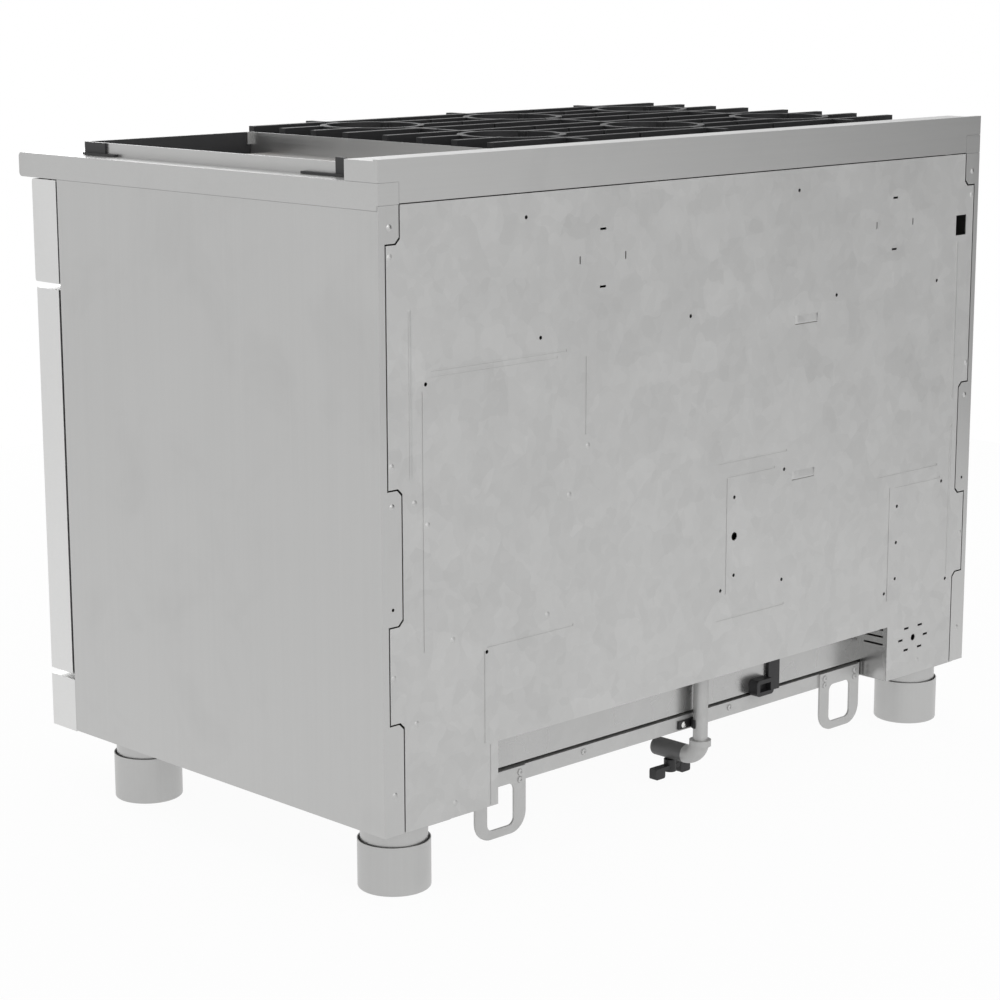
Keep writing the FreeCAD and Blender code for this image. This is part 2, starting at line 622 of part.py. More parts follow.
def well_opening():
    x0 = GRATE_ZONE[0] + WELL_LIP
    x1 = GRATE_ZONE[1] - WELL_LIP
    return x0, x1, GRATE_REAR_DEPTH + WELL_LIP, GRATE_FRONT_DEPTH - WELL_LIP


def worktop():
    """Stainless top: flat sheet, nose and side bands, with the wells' and the griddle's openings."""
    outer = box(-HALF, HALF, 0, WORKTOP_DEPTH, BAND_BOTTOM, WORKTOP_Z)
    outer = outer.makeFillet(NOSE_R, front_edges(outer, WORKTOP_DEPTH))
    x = HALF - PLATE
    front = WORKTOP_DEPTH - PLATE
    inner = box(-x, x, -1, front, 0, WORKTOP_Z - PLATE)
    lip = box(-x, x, front - NOSE_LIP, front, BAND_BOTTOM, BAND_BOTTOM + PLATE)
    griddle_front = GRIDDLE_FRONT + BRACKET_SHEET + SEAM
    above = WORKTOP_Z + 1
    x0, x1, d0, d1 = well_opening()
    cuts = [
        box(x0, x1, d0, d1, 0, above),
        box(GUARD_LEFT - SEAM, GUARD_RIGHT + SEAM, GRIDDLE_REAR - SEAM, griddle_front, 0, above),
        box(-HALF + BAND_WRAP, HALF - BAND_WRAP, -1, PLATE + SEAM, 0, above),
    ]
    cuts += [box(s * HALF - 3, s * HALF + 3, -1, PLATE + SEAM, 0, FLANGE_TOP + SEAM) for s in (-1, 1)]
    wraps = []
    for s in (-1, 1):
        ends = sorted((s * (HALF - BAND_WRAP), s * (HALF - PLATE)))
        wraps.append(box(ends[0], ends[1], 0, PLATE, FLANGE_TOP + SEAM, WORKTOP_Z - PLATE))
    shell = outer.cut(inner)
    return join([shell, lip] + wraps).cut(Part.makeCompound(cuts))


def rear_trim():
    """Raised back rail: a folded box with a skirt behind, a lip on top and a row of flue slots in front."""
    box_top = TRIM_TOP - TRIM_LIP_HEIGHT
    outer = box(-HALF, HALF, 0, TRIM_DEPTH, WORKTOP_Z + SEAM, box_top)
    inner = box(-HALF + PLATE, HALF - PLATE, PLATE, TRIM_DEPTH - PLATE, 0, box_top - PLATE)
    lip = box(-HALF, HALF, 0, TRIM_LIP, box_top - PLATE, TRIM_TOP)
    skirt_x = HALF - BAND_WRAP - SEAM
    skirt = box(-skirt_x, skirt_x, 0, PLATE, FLANGE_TOP + TRIM_SKIRT_GAP, box_top)
    count = int((WIDTH - 2 * BAND_WRAP) / FLUE_PITCH)
    z = (WORKTOP_Z + box_top - FLUE_HEIGHT) / 2
    slots = []
    for k in range(count):
        x = (k - (count - 1) / 2) * FLUE_PITCH - FLUE_LENGTH / 2
        slots.append(box(x, x + FLUE_LENGTH, TRIM_DEPTH - 5, TRIM_DEPTH + 5, z, z + FLUE_HEIGHT))
    return join([outer.cut(inner), lip, skirt]).cut(Part.makeCompound(slots))


# ---- legs --------------------------------------------------------------------------------------
def leg_places():
    return [(sx * LEG_X, d) for d in (LEG_FRONT_DEPTH, LEG_REAR_DEPTH) for sx in (1, -1)]


def leg_tube(x, depth):
    """Leg's inner tube with its closed end and the plate below the base pan."""
    z0 = FOOT_FLOOR + LEG_TUBE_CLEAR
    top = FLOOR_GAP - SEAM
    bore = upright(x, depth, z0 - 1, top - LEG_CAP, LEG_TUBE_R - LEG_TUBE_WALL)
    inner, outer = x - math.copysign(LEG_PLATE_REACH, x), x + math.copysign(LEG_PLATE_SIDE, x)
    half = LEG_PLATE_HALF
    plate = box(min(inner, outer), max(inner, outer), depth - half, depth + half, top - LEG_PLATE, top)
    return join([plate, upright(x, depth, z0, top, LEG_TUBE_R)]).cut(bore)


def foot(x, depth):
    """Foot that screws up and down on the leg tube: sleeve with a closed, rounded sole."""
    outer = upright(x, depth, 0, LEG_SLEEVE_HEIGHT, LEG_SLEEVE_R)
    outer = outer.makeFillet(3, [e for e in outer.Edges if e.BoundBox.ZMax < 1])
    over = LEG_SLEEVE_HEIGHT + 1
    mouth = upright(x, depth, LEG_SLEEVE_HEIGHT - SLEEVE_MOUTH, over, LEG_SLEEVE_R - SLEEVE_LIP)
    return outer.cut(Part.makeCompound([upright(x, depth, FOOT_FLOOR, over, LEG_TUBE_R + RUNNING), mouth]))


# ---- cooktop -----------------------------------------------------------------------------------
GRATE_NAMES = (("grate_front_left", "grate_front_middle", "grate_front_right"),
               ("grate_rear_left", "grate_rear_middle", "grate_rear_right"))


def grate_centre(row, column):
    x = GRATE_ZONE[0] + GRATE_WIDTH / 2 + column * (GRATE_WIDTH + GRATE_GAP)
    d = GRATE_FRONT_DEPTH - GRATE_LENGTH / 2 - row * (GRATE_LENGTH + GRATE_GAP)
    return x, d


def burner_places():
    return [grate_centre(row, column) for row in range(GRATE_ROWS) for column in range(GRATE_COLUMNS)]


def burner_wells():
    """Enamelled pan below the grates, with a hole for each burner and a flange under the worktop."""
    x0, x1, d0, d1 = well_opening()
    top = WORKTOP_Z - PLATE - SEAM
    w = WELL_FLANGE
    flange = box(x0 - w, x1 + w, d0 - w, d1 + w, top - PLATE, top)
    bowl = box(x0, x1, d0, d1, WELL_FLOOR_Z, top)
    hollow = box(x0 + PLATE, x1 - PLATE, d0 + PLATE, d1 - PLATE, WELL_FLOOR_Z + PLATE, top + 1)
    holes = [upright(x, d, WELL_FLOOR_Z - 1, WELL_FLOOR_Z + 5, BURNER_HOLE_R) for x, d in burner_places()]
    return join([flange, bowl]).cut(Part.makeCompound([hollow] + holes))


def burner_base(x, d):
    """Cast burner: throat through the well's floor, then a wide head with gas ports round its rim."""
    throat = upright(x, d, WELL_FLOOR_Z - THROAT_DROP, WELL_FLOOR_Z + 14, BURNER_HOLE_R - 1)
    collar = upright(x, d, WELL_FLOOR_Z + PLATE + SEAM, WELL_FLOOR_Z + 6, BURNER_HOLE_R + 6)
    cone = Part.makeCone(BURNER_HOLE_R, BURNER_R, 12, FreeCAD.Vector(x, y_at(d), WELL_FLOOR_Z + 14))
    rim = upright(x, d, WELL_FLOOR_Z + 26, WELL_FLOOR_Z + 34, BURNER_R)
    centre = FreeCAD.Vector(x, y_at(d), WELL_FLOOR_Z + 32)
    ports = []
    for k in range(BURNER_PORTS):
        angle = 2 * math.pi * k / BURNER_PORTS
        outward = FreeCAD.Vector(math.cos(angle), math.sin(angle), 0)
        ports.append(Part.makeCylinder(PORT_R, 10, centre + outward * (BURNER_R - 8), outward))
    bore = upright(x, d, WELL_FLOOR_Z - THROAT_DROP - 1, WELL_FLOOR_Z + 40, BURNER_BORE_R)
    return join([throat, collar, cone, rim]).cut(Part.makeCompound([bore] + ports))


def burner_cap(x, d):
    """Loose cap on the burner: a low dome with a locating ring below."""
    z = WELL_FLOOR_Z + 34 + SEAM
    disc = upright(x, d, z, z + 7, BURNER_CAP_R + 5)
    disc = disc.makeFillet(4, [e for e in disc.Edges if e.BoundBox.ZMin > z + 6])
    ring = upright(x, d, z - 5, z + 1, BURNER_BORE_R - 1)
    return join([disc, ring])


def grate(row, column):
    """Cast grate: low outer frame, a ring over the burner, full bars at its ends and fingers between."""
    x, d = grate_centre(row, column)
    hx = GRATE_WIDTH / 2
    hd = GRATE_LENGTH / 2
    b = GRATE_BAR
    frame_top = GRATE_Z + GRATE_FRAME_HEIGHT
    frame = rounded_slab(x - hx, x + hx, d - hd, d + hd, GRATE_Z, frame_top, 6, "z")
    frame = frame.cut(box(x - hx + b, x + hx - b, d - hd + b, d + hd - b, 0, frame_top + 1))
    low = frame_top - 6
    outer = 1.5 * GRATE_FINGER_PITCH
    inner = 0.5 * GRATE_FINGER_PITCH
    reach = math.sqrt(GRATE_RING_R ** 2 - inner ** 2)
    h = b / 2
    bars = []
    for s in (-1, 1):
        end = d + s * outer
        bars.append(box(x - hx, x + hx, end - h, end + h, low, GRATE_TOP))
        for side in (-1, 1):
            ends = sorted((x + side * (reach - 10), x + side * hx))
            depth = d + s * inner
            bars.append(box(ends[0], ends[1], depth - h, depth + h, low, GRATE_TOP))
        depths = sorted((d + s * (GRATE_RING_R - 2), d + s * hd))
        bars.append(box(x - h, x + h, depths[0], depths[1], low, GRATE_TOP))
    ring = upright(x, d, low + 2, GRATE_TOP, GRATE_RING_R + 4)
    ring = ring.cut(upright(x, d, low, GRATE_TOP + 1, GRATE_RING_R - 5))
    return join([frame] + bars + [ring])


def griddle_ends():
    """Ends of what lies between the two side guards."""
    return GUARD_LEFT + GUARD_SHEET + SEAM, GUARD_RIGHT - GUARD_SHEET - SEAM


def griddle_plate():
    x0, x1 = griddle_ends()
    front = GRIDDLE_FRONT - TROUGH_WIDTH
    plate = box(x0, x1, GRIDDLE_REAR + GUARD_SHEET + SEAM, front, GRIDDLE_BASE, GRIDDLE_TOP)
    upper = [e for e in front_edges(plate, front) if e.BoundBox.ZMin > GRIDDLE_TOP - 1]
    return plate.makeFillet(5, upper)


def griddle_guards():
    """Stainless splash guards: a sheet each side, folded in below the plate, and a low one at the rear."""
    low = GRIDDLE_BASE - SEAM - GUARD_SHEET
    fold_top = low + GUARD_SHEET
    rear = GRIDDLE_REAR
    fold = rear + GUARD_SHEET + SEAM
    front = GRIDDLE_FRONT - SEAM
    fold_end = front - TROUGH_WIDTH
    x0 = GUARD_LEFT
    x1 = GUARD_RIGHT
    right = join([box(x1 - GUARD_SHEET, x1, rear, front, low, GUARD_TOP),
                  box(x1 - GUARD_FOLD, x1, fold, fold_end, low, fold_top)])
    left = join([box(x0, x0 + GUARD_SHEET, rear, front, low, GUARD_TOP),
                 box(x0, x0 + GUARD_FOLD, fold, fold_end, low, fold_top),
                 box(x0, x0 + 9, front - GUARD_SHEET, front, WORKTOP_Z, GUARD_TOP)])
    a, b = griddle_ends()
    return [right, left, box(a, b, rear, rear + GUARD_SHEET, low, GUARD_TOP)]


def guard_bracket(d0, d1, foot0, foot1, top):
    """Black corner bracket outside the right guard: an upright plate and a longer foot on the worktop."""
    x = GUARD_RIGHT + SEAM
    z = WORKTOP_Z + SEAM
    plate = box(x, x + BRACKET_SHEET, d0, d1, z, top)
    return join([plate, box(x, x + BRACKET_FOOT, foot0, foot1, z, z + BRACKET_SHEET)])


def griddle_trough():
    """Black grease trough and front wall, with the corner brackets at the right guard's ends."""
    x0, x1 = griddle_ends()
    d0 = GRIDDLE_FRONT - TROUGH_WIDTH + SEAM
    d1 = GRIDDLE_FRONT + BRACKET_SHEET
    low = WELL_FLOOR_Z
    wall = box(GUARD_LEFT, GUARD_RIGHT, GRIDDLE_FRONT, d1, low, GUARD_TOP)
    tray = box(x0, x1, d0, GRIDDLE_FRONT + 1, low, GRIDDLE_BASE)
    hollow = box(x0 + PLATE, x1 - PLATE, d0 + PLATE, GRIDDLE_FRONT, low + PLATE, WORKTOP_Z)
    trough = join([wall, tray.cut(hollow)])
    front = guard_bracket(GRIDDLE_FRONT - 43, d1, GRIDDLE_FRONT - 68, d1, GUARD_TOP)
    rear = guard_bracket(GRIDDLE_REAR, GRIDDLE_REAR + 18, GRIDDLE_REAR, GRIDDLE_REAR + 80, GUARD_TOP + 6)
    return [trough, front, rear]


# ---- gas train ---------------------------------------------------------------------------------
def tube_along(x, z, d0, d1, r, bore):
    return forward(x, z, d0, d1, r).cut(forward(x, z, d0 - 1, d1 + 1, bore))


def gas_manifold():
    """Manifold pipe behind the control panel and a supply tube to every burner."""
    x = KNOB_PITCH * (KNOB_COUNT - 1) / 2 + VALVE_BODY_R
    pipe = across(-x, x, MANIFOLD_DEPTH, KNOB_Z, MANIFOLD_R)
    pipe = pipe.cut(across(-x + 4, x - 4, MANIFOLD_DEPTH, KNOB_Z, MANIFOLD_R - MANIFOLD_WALL))
    tubes = []
    z = KNOB_Z + MANIFOLD_R + TUBE_RISE
    for k, (bx, bd) in enumerate(burner_places()):
        tx = bx if k < GRATE_COLUMNS else bx + REAR_TUBE_OFFSET
        rise = upright(tx, MANIFOLD_DEPTH, KNOB_Z + MANIFOLD_R + SEAM, z, BURNER_TUBE_R)
        run = forward(tx, z, bd, MANIFOLD_DEPTH + BURNER_TUBE_R, BURNER_TUBE_R)
        end = box(bx - 14, max(bx + 14, tx + 8), bd - 12, bd + 12, z - 9, z + 9)
        neck = upright(bx, bd, z, WELL_FLOOR_Z - THROAT_DROP - SEAM, 12)
        tubes.append(join([rise, run, end, neck]))
    return [pipe] + tubes


def valve_body(x):
    """Cock on the manifold, bored for its turning plug."""
    body = forward(x, KNOB_Z, MANIFOLD_DEPTH + MANIFOLD_R + SEAM, COCK_END, VALVE_BODY_R)
    mouth = COCK_END - PLUG_LENGTH
    return body.cut(forward(x, KNOB_Z, mouth - 1, COCK_END + 1, PLUG_R + RUNNING))


def valve_plug(x):
    """Plug that turns in the cock, and its spindle, which passes through the control panel."""
    plug = forward(x, KNOB_Z, COCK_END - PLUG_LENGTH, COCK_END, PLUG_R)
    return join([plug, forward(x, KNOB_Z, COCK_END - 1, KNOB_BACK + SPINDLE_GRIP, STEM_R)])


def knob(x):
    """Control knob: a low skirt, a tapered body and a raised grip bar, bored for the spindle."""
    back = KNOB_BACK
    front = back + KNOB_LENGTH
    skirt = forward(x, KNOB_Z, back, back + SKIRT, KNOB_R)
    start = FreeCAD.Vector(x, y_at(back + SKIRT), KNOB_Z)
    forwards = FreeCAD.Vector(0, -1, 0)
    body = Part.makeCone(KNOB_R - 2, KNOB_R - 6, KNOB_LENGTH - 2 * SKIRT, start, forwards)
    reach = KNOB_R - 5
    grip = box(x - 5, x + 5, back + SKIRT, front, KNOB_Z - reach, KNOB_Z + reach)
    grip = grip.makeFillet(3, [e for e in grip.Edges if e.BoundBox.YMax < y_at(front) + 1])
    bore_end = back + SPINDLE_GRIP + KNOB_PUSH + 1
    return join([skirt, body, grip]).cut(forward(x, KNOB_Z, back - 1, bore_end, STEM_R + RUNNING))


def bend(x, depth, z, reach, r, up):
    """Quarter elbow in the depth plane, from a vertical pipe to one that runs forward."""
    centre = FreeCAD.Vector(x, y_at(depth + reach), z + (-reach if up else reach))
    start = FreeCAD.Vector(x, y_at(depth), centre.z)
    circle = Part.Wire([Part.Edge(Part.Circle(start, FreeCAD.Vector(0, 0, 1), r))])
    return Part.Face(circle).revolve(centre, FreeCAD.Vector(-1, 0, 0), -90 if up else 90)


def gas_pipe():
    """Riser from the lower elbow up inside the back, then forward over the ovens to the manifold."""
    reach = ELBOW_REACH
    low = ELBOW_Z + reach
    high = KNOB_Z - reach
    riser = upright(PIPE_X, PIPE_DEPTH, low, high, PIPE_R)
    collar = upright(PIPE_X, PIPE_DEPTH, low - COLLAR_HEIGHT, low, COLLAR_R)
    lower = bend(PIPE_X, PIPE_DEPTH, ELBOW_Z, reach, ELBOW_R, False)
    upper = bend(PIPE_X, PIPE_DEPTH, KNOB_Z, reach, PIPE_R, True)
    run = forward(PIPE_X, KNOB_Z, PIPE_DEPTH + reach, MANIFOLD_DEPTH - MANIFOLD_R - SEAM, PIPE_R)
    whole = join([riser, collar, lower, upper, run])
    return whole.cut(upright(PIPE_X, PIPE_DEPTH, low, high, PIPE_BORE_R))


def shutoff_valve():
    """Ball valve body with wrench flats, a stem boss below and a threaded inlet that faces forward."""
    d0 = ELBOW_END + SEAM
    body = forward(PIPE_X, ELBOW_Z, d0, VALVE_END, VALVE_R)
    body = body.makeFillet(3, [e for e in body.Edges if e.BoundBox.YMax < y_at(VALVE_END) + 1])
    bore = forward(PIPE_X, ELBOW_Z, d0 - 1, VALVE_END, 6)
    inlet = forward(PIPE_X, ELBOW_Z, VALVE_END - INLET_DEPTH, VALVE_END + 1, INLET_R)
    stem = upright(PIPE_X, HANDLE_AXIS, ELBOW_Z - VALVE_R - 1, ELBOW_Z, HANDLE_STEM_R + RUNNING)
    return body.cut(Part.makeCompound([bore, inlet, stem]))


def shutoff_handle():
    """Butterfly handle below the valve: hub on the stem and two wings with turned-down tips."""
    z_hub = ELBOW_Z - VALVE_R - 1
    stem = upright(PIPE_X, HANDLE_AXIS, z_hub - 6, ELBOW_Z - 7.5, HANDLE_STEM_R)
    hub = upright(PIPE_X, HANDLE_AXIS, z_hub - 18, z_hub, 9)
    span = WING_SPAN / 2
    arm = box(PIPE_X - span, PIPE_X + span, HANDLE_AXIS - 6, HANDLE_AXIS + 6, z_hub - 14, z_hub - 8)
    d0 = HANDLE_AXIS - WING_WIDTH / 2
    d1 = HANDLE_AXIS + WING_WIDTH / 2
    wings = []
    for x in (PIPE_X - span, PIPE_X + span - 20):
        wings.append(rounded_slab(x, x + 20, d0, d1, z_hub - 10 - WING_HEIGHT, z_hub - 8, 3, "y"))
    return join([stem, hub, arm] + wings)


def rear_fittings():
    """Black fittings on the rail: saddle behind the pipe, power inlet housing and its cover strip."""
    z0 = FLOOR_GAP + 3
    z1 = z0 + 12
    ring = upright(PIPE_X, PIPE_DEPTH, z0, z1, PIPE_R + CLAMP_WALL)
    back = RECESS_DEPTH - SEAM
    ear = box(PIPE_X, PIPE_X + CLAMP_EAR, back - CLAMP_WALL, back, z0, z1)
    bore = upright(PIPE_X, PIPE_DEPTH, z0 - 1, z1 + 1, PIPE_R + 0.2)
    reach = PIPE_R + CLAMP_WALL + 1
    open_side = box(PIPE_X - reach, PIPE_X + reach, PIPE_DEPTH - reach, PIPE_DEPTH, z0 - 1, z1 + 1)
    clamp = join([ring, ear]).cut(Part.makeCompound([bore, open_side]))
    base = FLOOR_GAP + RAIL_HEIGHT + SEAM
    x = PIPE_X - INLET_OFFSET
    w = INLET_WIDTH / 2
    inlet = rounded_slab(x - w, x + w, back - INLET_HEIGHT / 1.5, back, base, base + INLET_HEIGHT, 6, "y")
    front = RECESS_DEPTH - 6
    socket = box(x - w + 7, x + w - 7, front - 11, front, base + 6, base + INLET_HEIGHT - 6)
    strip = box(x - w - 1 - STRIP_WIDTH, x - w - 1, RECESS_DEPTH - 5, back, base, RECESS_TOP - 5)
    return [clamp, inlet.cut(socket), strip]


# ---- ovens and doors ---------------------------------------------------------------------------
def hinge_places(door):
    return door[0] + HINGE_INSET, door[1] - HINGE_INSET


def oven_cavity(door, grow):
    """Inside of an oven, grown by this much all round and open in front."""
    x0, x1 = oven_outline(door)
    w = OVEN_WALL - grow
    return box(x0 + w, x1 - w, OVEN_BACK_GAP + w, BODY_DEPTH + 1, OVEN_BOTTOM + w, OVEN_TOP - w)


def oven_box(door):
    """Enamelled liner: a thin box open in front, with a flange round its mouth and ledges for the racks."""
    x0, x1 = oven_outline(door)
    whole = box(x0, x1, OVEN_BACK_GAP, BODY_DEPTH, OVEN_BOTTOM, OVEN_TOP)
    shell = oven_cavity(door, LINER_SHEET).common(whole)
    flange = box(x0, x1, BODY_DEPTH - LINER_SHEET, BODY_DEPTH, OVEN_BOTTOM, OVEN_TOP)
    bite = LINER_SHEET / 2
    rear = OVEN_BACK_GAP + OVEN_WALL - bite
    ledges = []
    for z in rack_heights():
        top = z - RACK_WIRE_R - SEAM
        for x in (x0 + OVEN_WALL - bite, x1 - OVEN_WALL + bite - LEDGE):
            ledges.append(box(x, x + LEDGE, rear, BODY_DEPTH - 12, top - LEDGE_HEIGHT, top))
    return join([join([shell, flange]).cut(oven_cavity(door, 0))] + ledges)


def oven_wool(door):
    """Insulation round an oven's liner, up to the flange."""
    x0, x1 = oven_outline(door)
    front = BODY_DEPTH - LINER_SHEET - SEAM
    block = box(x0, x1, OVEN_BACK_GAP, front, OVEN_BOTTOM, OVEN_TOP)
    return block.cut(oven_cavity(door, LINER_SHEET + SEAM))


def rack_heights():
    rise = (OVEN_TOP - OVEN_BOTTOM - 2 * OVEN_WALL) / (RACK_LEVELS + 1)
    return [OVEN_BOTTOM + OVEN_WALL + rise * (k + 1) for k in range(RACK_LEVELS)]


def oven_rack(door, z):
    """Wire rack: a closed frame and wires across it."""
    x0, x1 = oven_outline(door)
    a = x0 + OVEN_WALL + RACK_SIDE_GAP + RACK_WIRE_R
    b = x1 - OVEN_WALL - RACK_SIDE_GAP - RACK_WIRE_R
    d0 = OVEN_BACK_GAP + OVEN_WALL + 6
    d1 = BODY_DEPTH - 25
    r = RACK_WIRE_R
    wires = [forward(x, z, d0, d1, r) for x in (a, b)] + [across(a, b, d, z, r) for d in (d0, d1)]
    corners = [Part.makeSphere(r, FreeCAD.Vector(x, y_at(d), z)) for x in (a, b) for d in (d0, d1)]
    count = int((b - a) / RACK_PITCH)
    step = (b - a) / count
    wires += [forward(a + k * step, z, d0, d1, r * 0.7) for k in range(1, count)]
    return join(wires + corners)


def hinge_slots(door):
    """Slots for the hinge plates, through the lower rear corner of a door."""
    h = HINGE_SLOT / 2
    plate_room = 1.5           # round the plate when the door is open
    front = HINGE_AXIS_DEPTH + HINGE_AXIS_Z - HINGE_PLATE_LOW + plate_room
    top = HINGE_AXIS_Z + HINGE_EYE_R + 2
    return [box(x - h, x + h, PANEL_BACK - 1, front, DOOR_BOTTOM - 1, top) for x in hinge_places(door)]


def pressed_field(door, d0, d1, inset):
    """Rounded block over the pressed field of a door's face."""
    x0 = door[0] + PRESS_MARGIN + inset
    x1 = door[1] - PRESS_MARGIN - inset
    z0 = DOOR_BOTTOM + PRESS_MARGIN + inset
    z1 = DOOR_TOP - PRESS_TOP_MARGIN - inset
    return rounded_slab(x0, x1, d0, d1, z0, z1, PRESS_CORNER - inset, "y")


def door_skin(door):
    """Outer door pan with rounded edges, a pressed field in its face and hinge slots."""
    d0 = PANEL_BACK + SKIN_SETBACK
    outer = box(door[0], door[1], d0, FACE_DEPTH, DOOR_BOTTOM, DOOR_TOP)
    face_edges = [e for e in outer.Edges if e.BoundBox.YMax < y_at(FACE_DEPTH) + 1]
    outer = outer.makeFillet(DOOR_EDGE_R, face_edges)
    x0 = door[0] + PLATE
    x1 = door[1] - PLATE
    inner = box(x0, x1, 0, FACE_DEPTH - PLATE, DOOR_BOTTOM + PLATE, DOOR_TOP - PLATE)
    floor = FACE_DEPTH - PRESS_DEPTH
    pan = join([outer.cut(inner), pressed_field(door, floor - PLATE, FACE_DEPTH - PLATE / 2, 0)])
    hollow = pressed_field(door, floor, FACE_DEPTH + 1, PLATE)
    return pan.cut(Part.makeCompound([hollow] + hinge_slots(door)))


def door_liner(door):
    """Inner door: liner pan with a folded rim, and the hinge blocks with their pins."""
    s = LINER_STEP
    back = PANEL_BACK
    front = back + LINER_DEPTH - SEAM
    x0 = door[0] + s
    x1 = door[1] - s
    z0 = DOOR_BOTTOM + s
    z1 = DOOR_TOP - s
    rim = LINER_RIM
    pan = box(x0, x1, back, front, z0, z1)
    pan = pan.cut(box(x0 + rim, x1 - rim, back + PLATE, front + 1, DOOR_BOTTOM + HINGE_BLOCK, z1 - rim))
    end = FACE_DEPTH - PLATE - SEAM
    blocks = []
    pins = []
    for x in hinge_places(door):
        w = HINGE_BLOCK / 2
        blocks.append(box(x - w, x + w, front - 1, end, DOOR_BOTTOM + PLATE + SEAM, HINGE_AXIS_Z + 16))
        pins.append(across(x - PIN_REACH, x + PIN_REACH, HINGE_AXIS_DEPTH, HINGE_AXIS_Z, HINGE_PIN_R))
    whole = join([pan] + blocks).cut(Part.makeCompound(hinge_slots(door)))
    return join([whole] + pins)


def post_places(door):
    end = HANDLE_INSET + POST_INSET
    return door[0] + end, door[1] - end


def door_handle(door):
    """Bar handle on two posts."""
    z = DOOR_TOP - HANDLE_DROP
    depth = OVERALL_DEPTH - HANDLE_R
    bar = across(door[0] + HANDLE_INSET, door[1] - HANDLE_INSET, depth, z, HANDLE_R)
    bar = bar.makeFillet(3, [e for e in bar.Edges if e.Closed and e.Curve.TypeId == "Part::GeomCircle"])
    return join([bar] + [forward(x, z, FACE_DEPTH + SEAM, depth, POST_R) for x in post_places(door)])


def hinge_plates(door):
    """Plates on the chassis that reach into the door's slots and carry the pins."""
    plates = []
    h = HINGE_PLATE / 2
    for x in hinge_places(door):
        arm = box(x - h, x + h, BODY_DEPTH - 60, HINGE_AXIS_DEPTH, HINGE_PLATE_LOW, HINGE_PLATE_HIGH)
        eye = across(x - h, x + h, HINGE_AXIS_DEPTH, HINGE_AXIS_Z, HINGE_EYE_R)
        neck_end = HINGE_AXIS_DEPTH + HINGE_EYE_R / 2
        neck = box(x - h, x + h, HINGE_AXIS_DEPTH - HINGE_EYE_R, neck_end, HINGE_PLATE_LOW, HINGE_AXIS_Z)
        pin = across(x - h - 1, x + h + 1, HINGE_AXIS_DEPTH, HINGE_AXIS_Z, HINGE_PIN_R + RUNNING)
        plates.append(join([arm, neck, eye]).cut(pin))
    return plates


def main():
    os.makedirs("parts", exist_ok=True)
    export("side_panel_right", side_panel_right())
    export("side_panel_left", mirrored(side_panel_right()))
    export("rear_panel", rear_panel())
    export("gas_recess_box", gas_recess_box())
    export("rear_rail", rear_rail(), *[lift_loop(x) for x in LOOP_PLACES])
    doors = {"large": LARGE_DOOR, "small": SMALL_DOOR}
    frame = [base_pan()] + front_rails()
    for door in doors.values():
        frame += runners(door) + hinge_plates(door)
    export("chassis_frame", *frame)
    export("kick_plate", kick_plate())
    export("control_panel", control_panel())
    export("worktop", worktop())
    export("rear_trim", rear_trim())
    export("leg_tubes", *[leg_tube(x, d) for x, d in leg_places()])
    for name, (x, d) in zip(("front_right", "front_left", "rear_right", "rear_left"), leg_places()):
        export("foot_" + name, foot(x, d))
    export("burner_wells", burner_wells())
    burners = [burner_base(x, d) for x, d in burner_places()]
    export("burners", *burners, *[burner_cap(x, d) for x, d in burner_places()])
    for row in range(GRATE_ROWS):
        for column in range(GRATE_COLUMNS):
            export(GRATE_NAMES[row][column], grate(row, column))
    export("griddle_plate", griddle_plate())
    export("griddle_guards", *griddle_guards())
    export("griddle_trough", *griddle_trough())
    export("gas_manifold", *gas_manifold())
    export("valve_bodies", *[valve_body(x) for x in knob_places()])
    for k, x in enumerate(knob_places(), 1):
        export("knob_%d" % k, knob(x))
        export("valve_plug_%d" % k, valve_plug(x))
    export("gas_pipe", gas_pipe())
    export("shutoff_valve", shutoff_valve())
    export("shutoff_handle", shutoff_handle())
    export("rear_fittings", *rear_fittings())
    racks = []
    wool = []
    for size, door in doors.items():
        export("oven_box_" + size, oven_box(door))
        racks += [oven_rack(door, z) for z in rack_heights()]
        wool.append(oven_wool(door))
        export("door_skin_" + size, door_skin(door))
        export("door_liner_" + size, door_liner(door))
        export("door_handle_" + size, door_handle(door))
    export("oven_racks", *racks)
    export("oven_insulation", *wool)


if __name__ == "__main__":
    main()
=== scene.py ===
"""Looks of a commercial gas range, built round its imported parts.

Metres, +Z up. X runs to the cook's right. The cook stands on the -Y side, and the flat rear face looks along
+Y.
"""

import math

import bmesh
import bpy
import numpy as np
from mathutils import Matrix, Vector


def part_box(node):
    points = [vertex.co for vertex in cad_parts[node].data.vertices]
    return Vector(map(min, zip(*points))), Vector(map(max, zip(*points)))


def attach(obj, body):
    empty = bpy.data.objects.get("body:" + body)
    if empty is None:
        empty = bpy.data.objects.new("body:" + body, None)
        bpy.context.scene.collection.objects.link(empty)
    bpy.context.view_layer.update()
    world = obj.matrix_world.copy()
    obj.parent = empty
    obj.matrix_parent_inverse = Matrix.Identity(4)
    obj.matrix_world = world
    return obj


bl_info = {
    "name": "Commercial gas range",
    "version": (1, 0, 0),
    "blender": (4, 5, 0),
    "location": "View3D > Sidebar > Range",
    "description": "Finishes, fasteners, trim and stage for a restaurant gas range",
    "category": "Object",
}

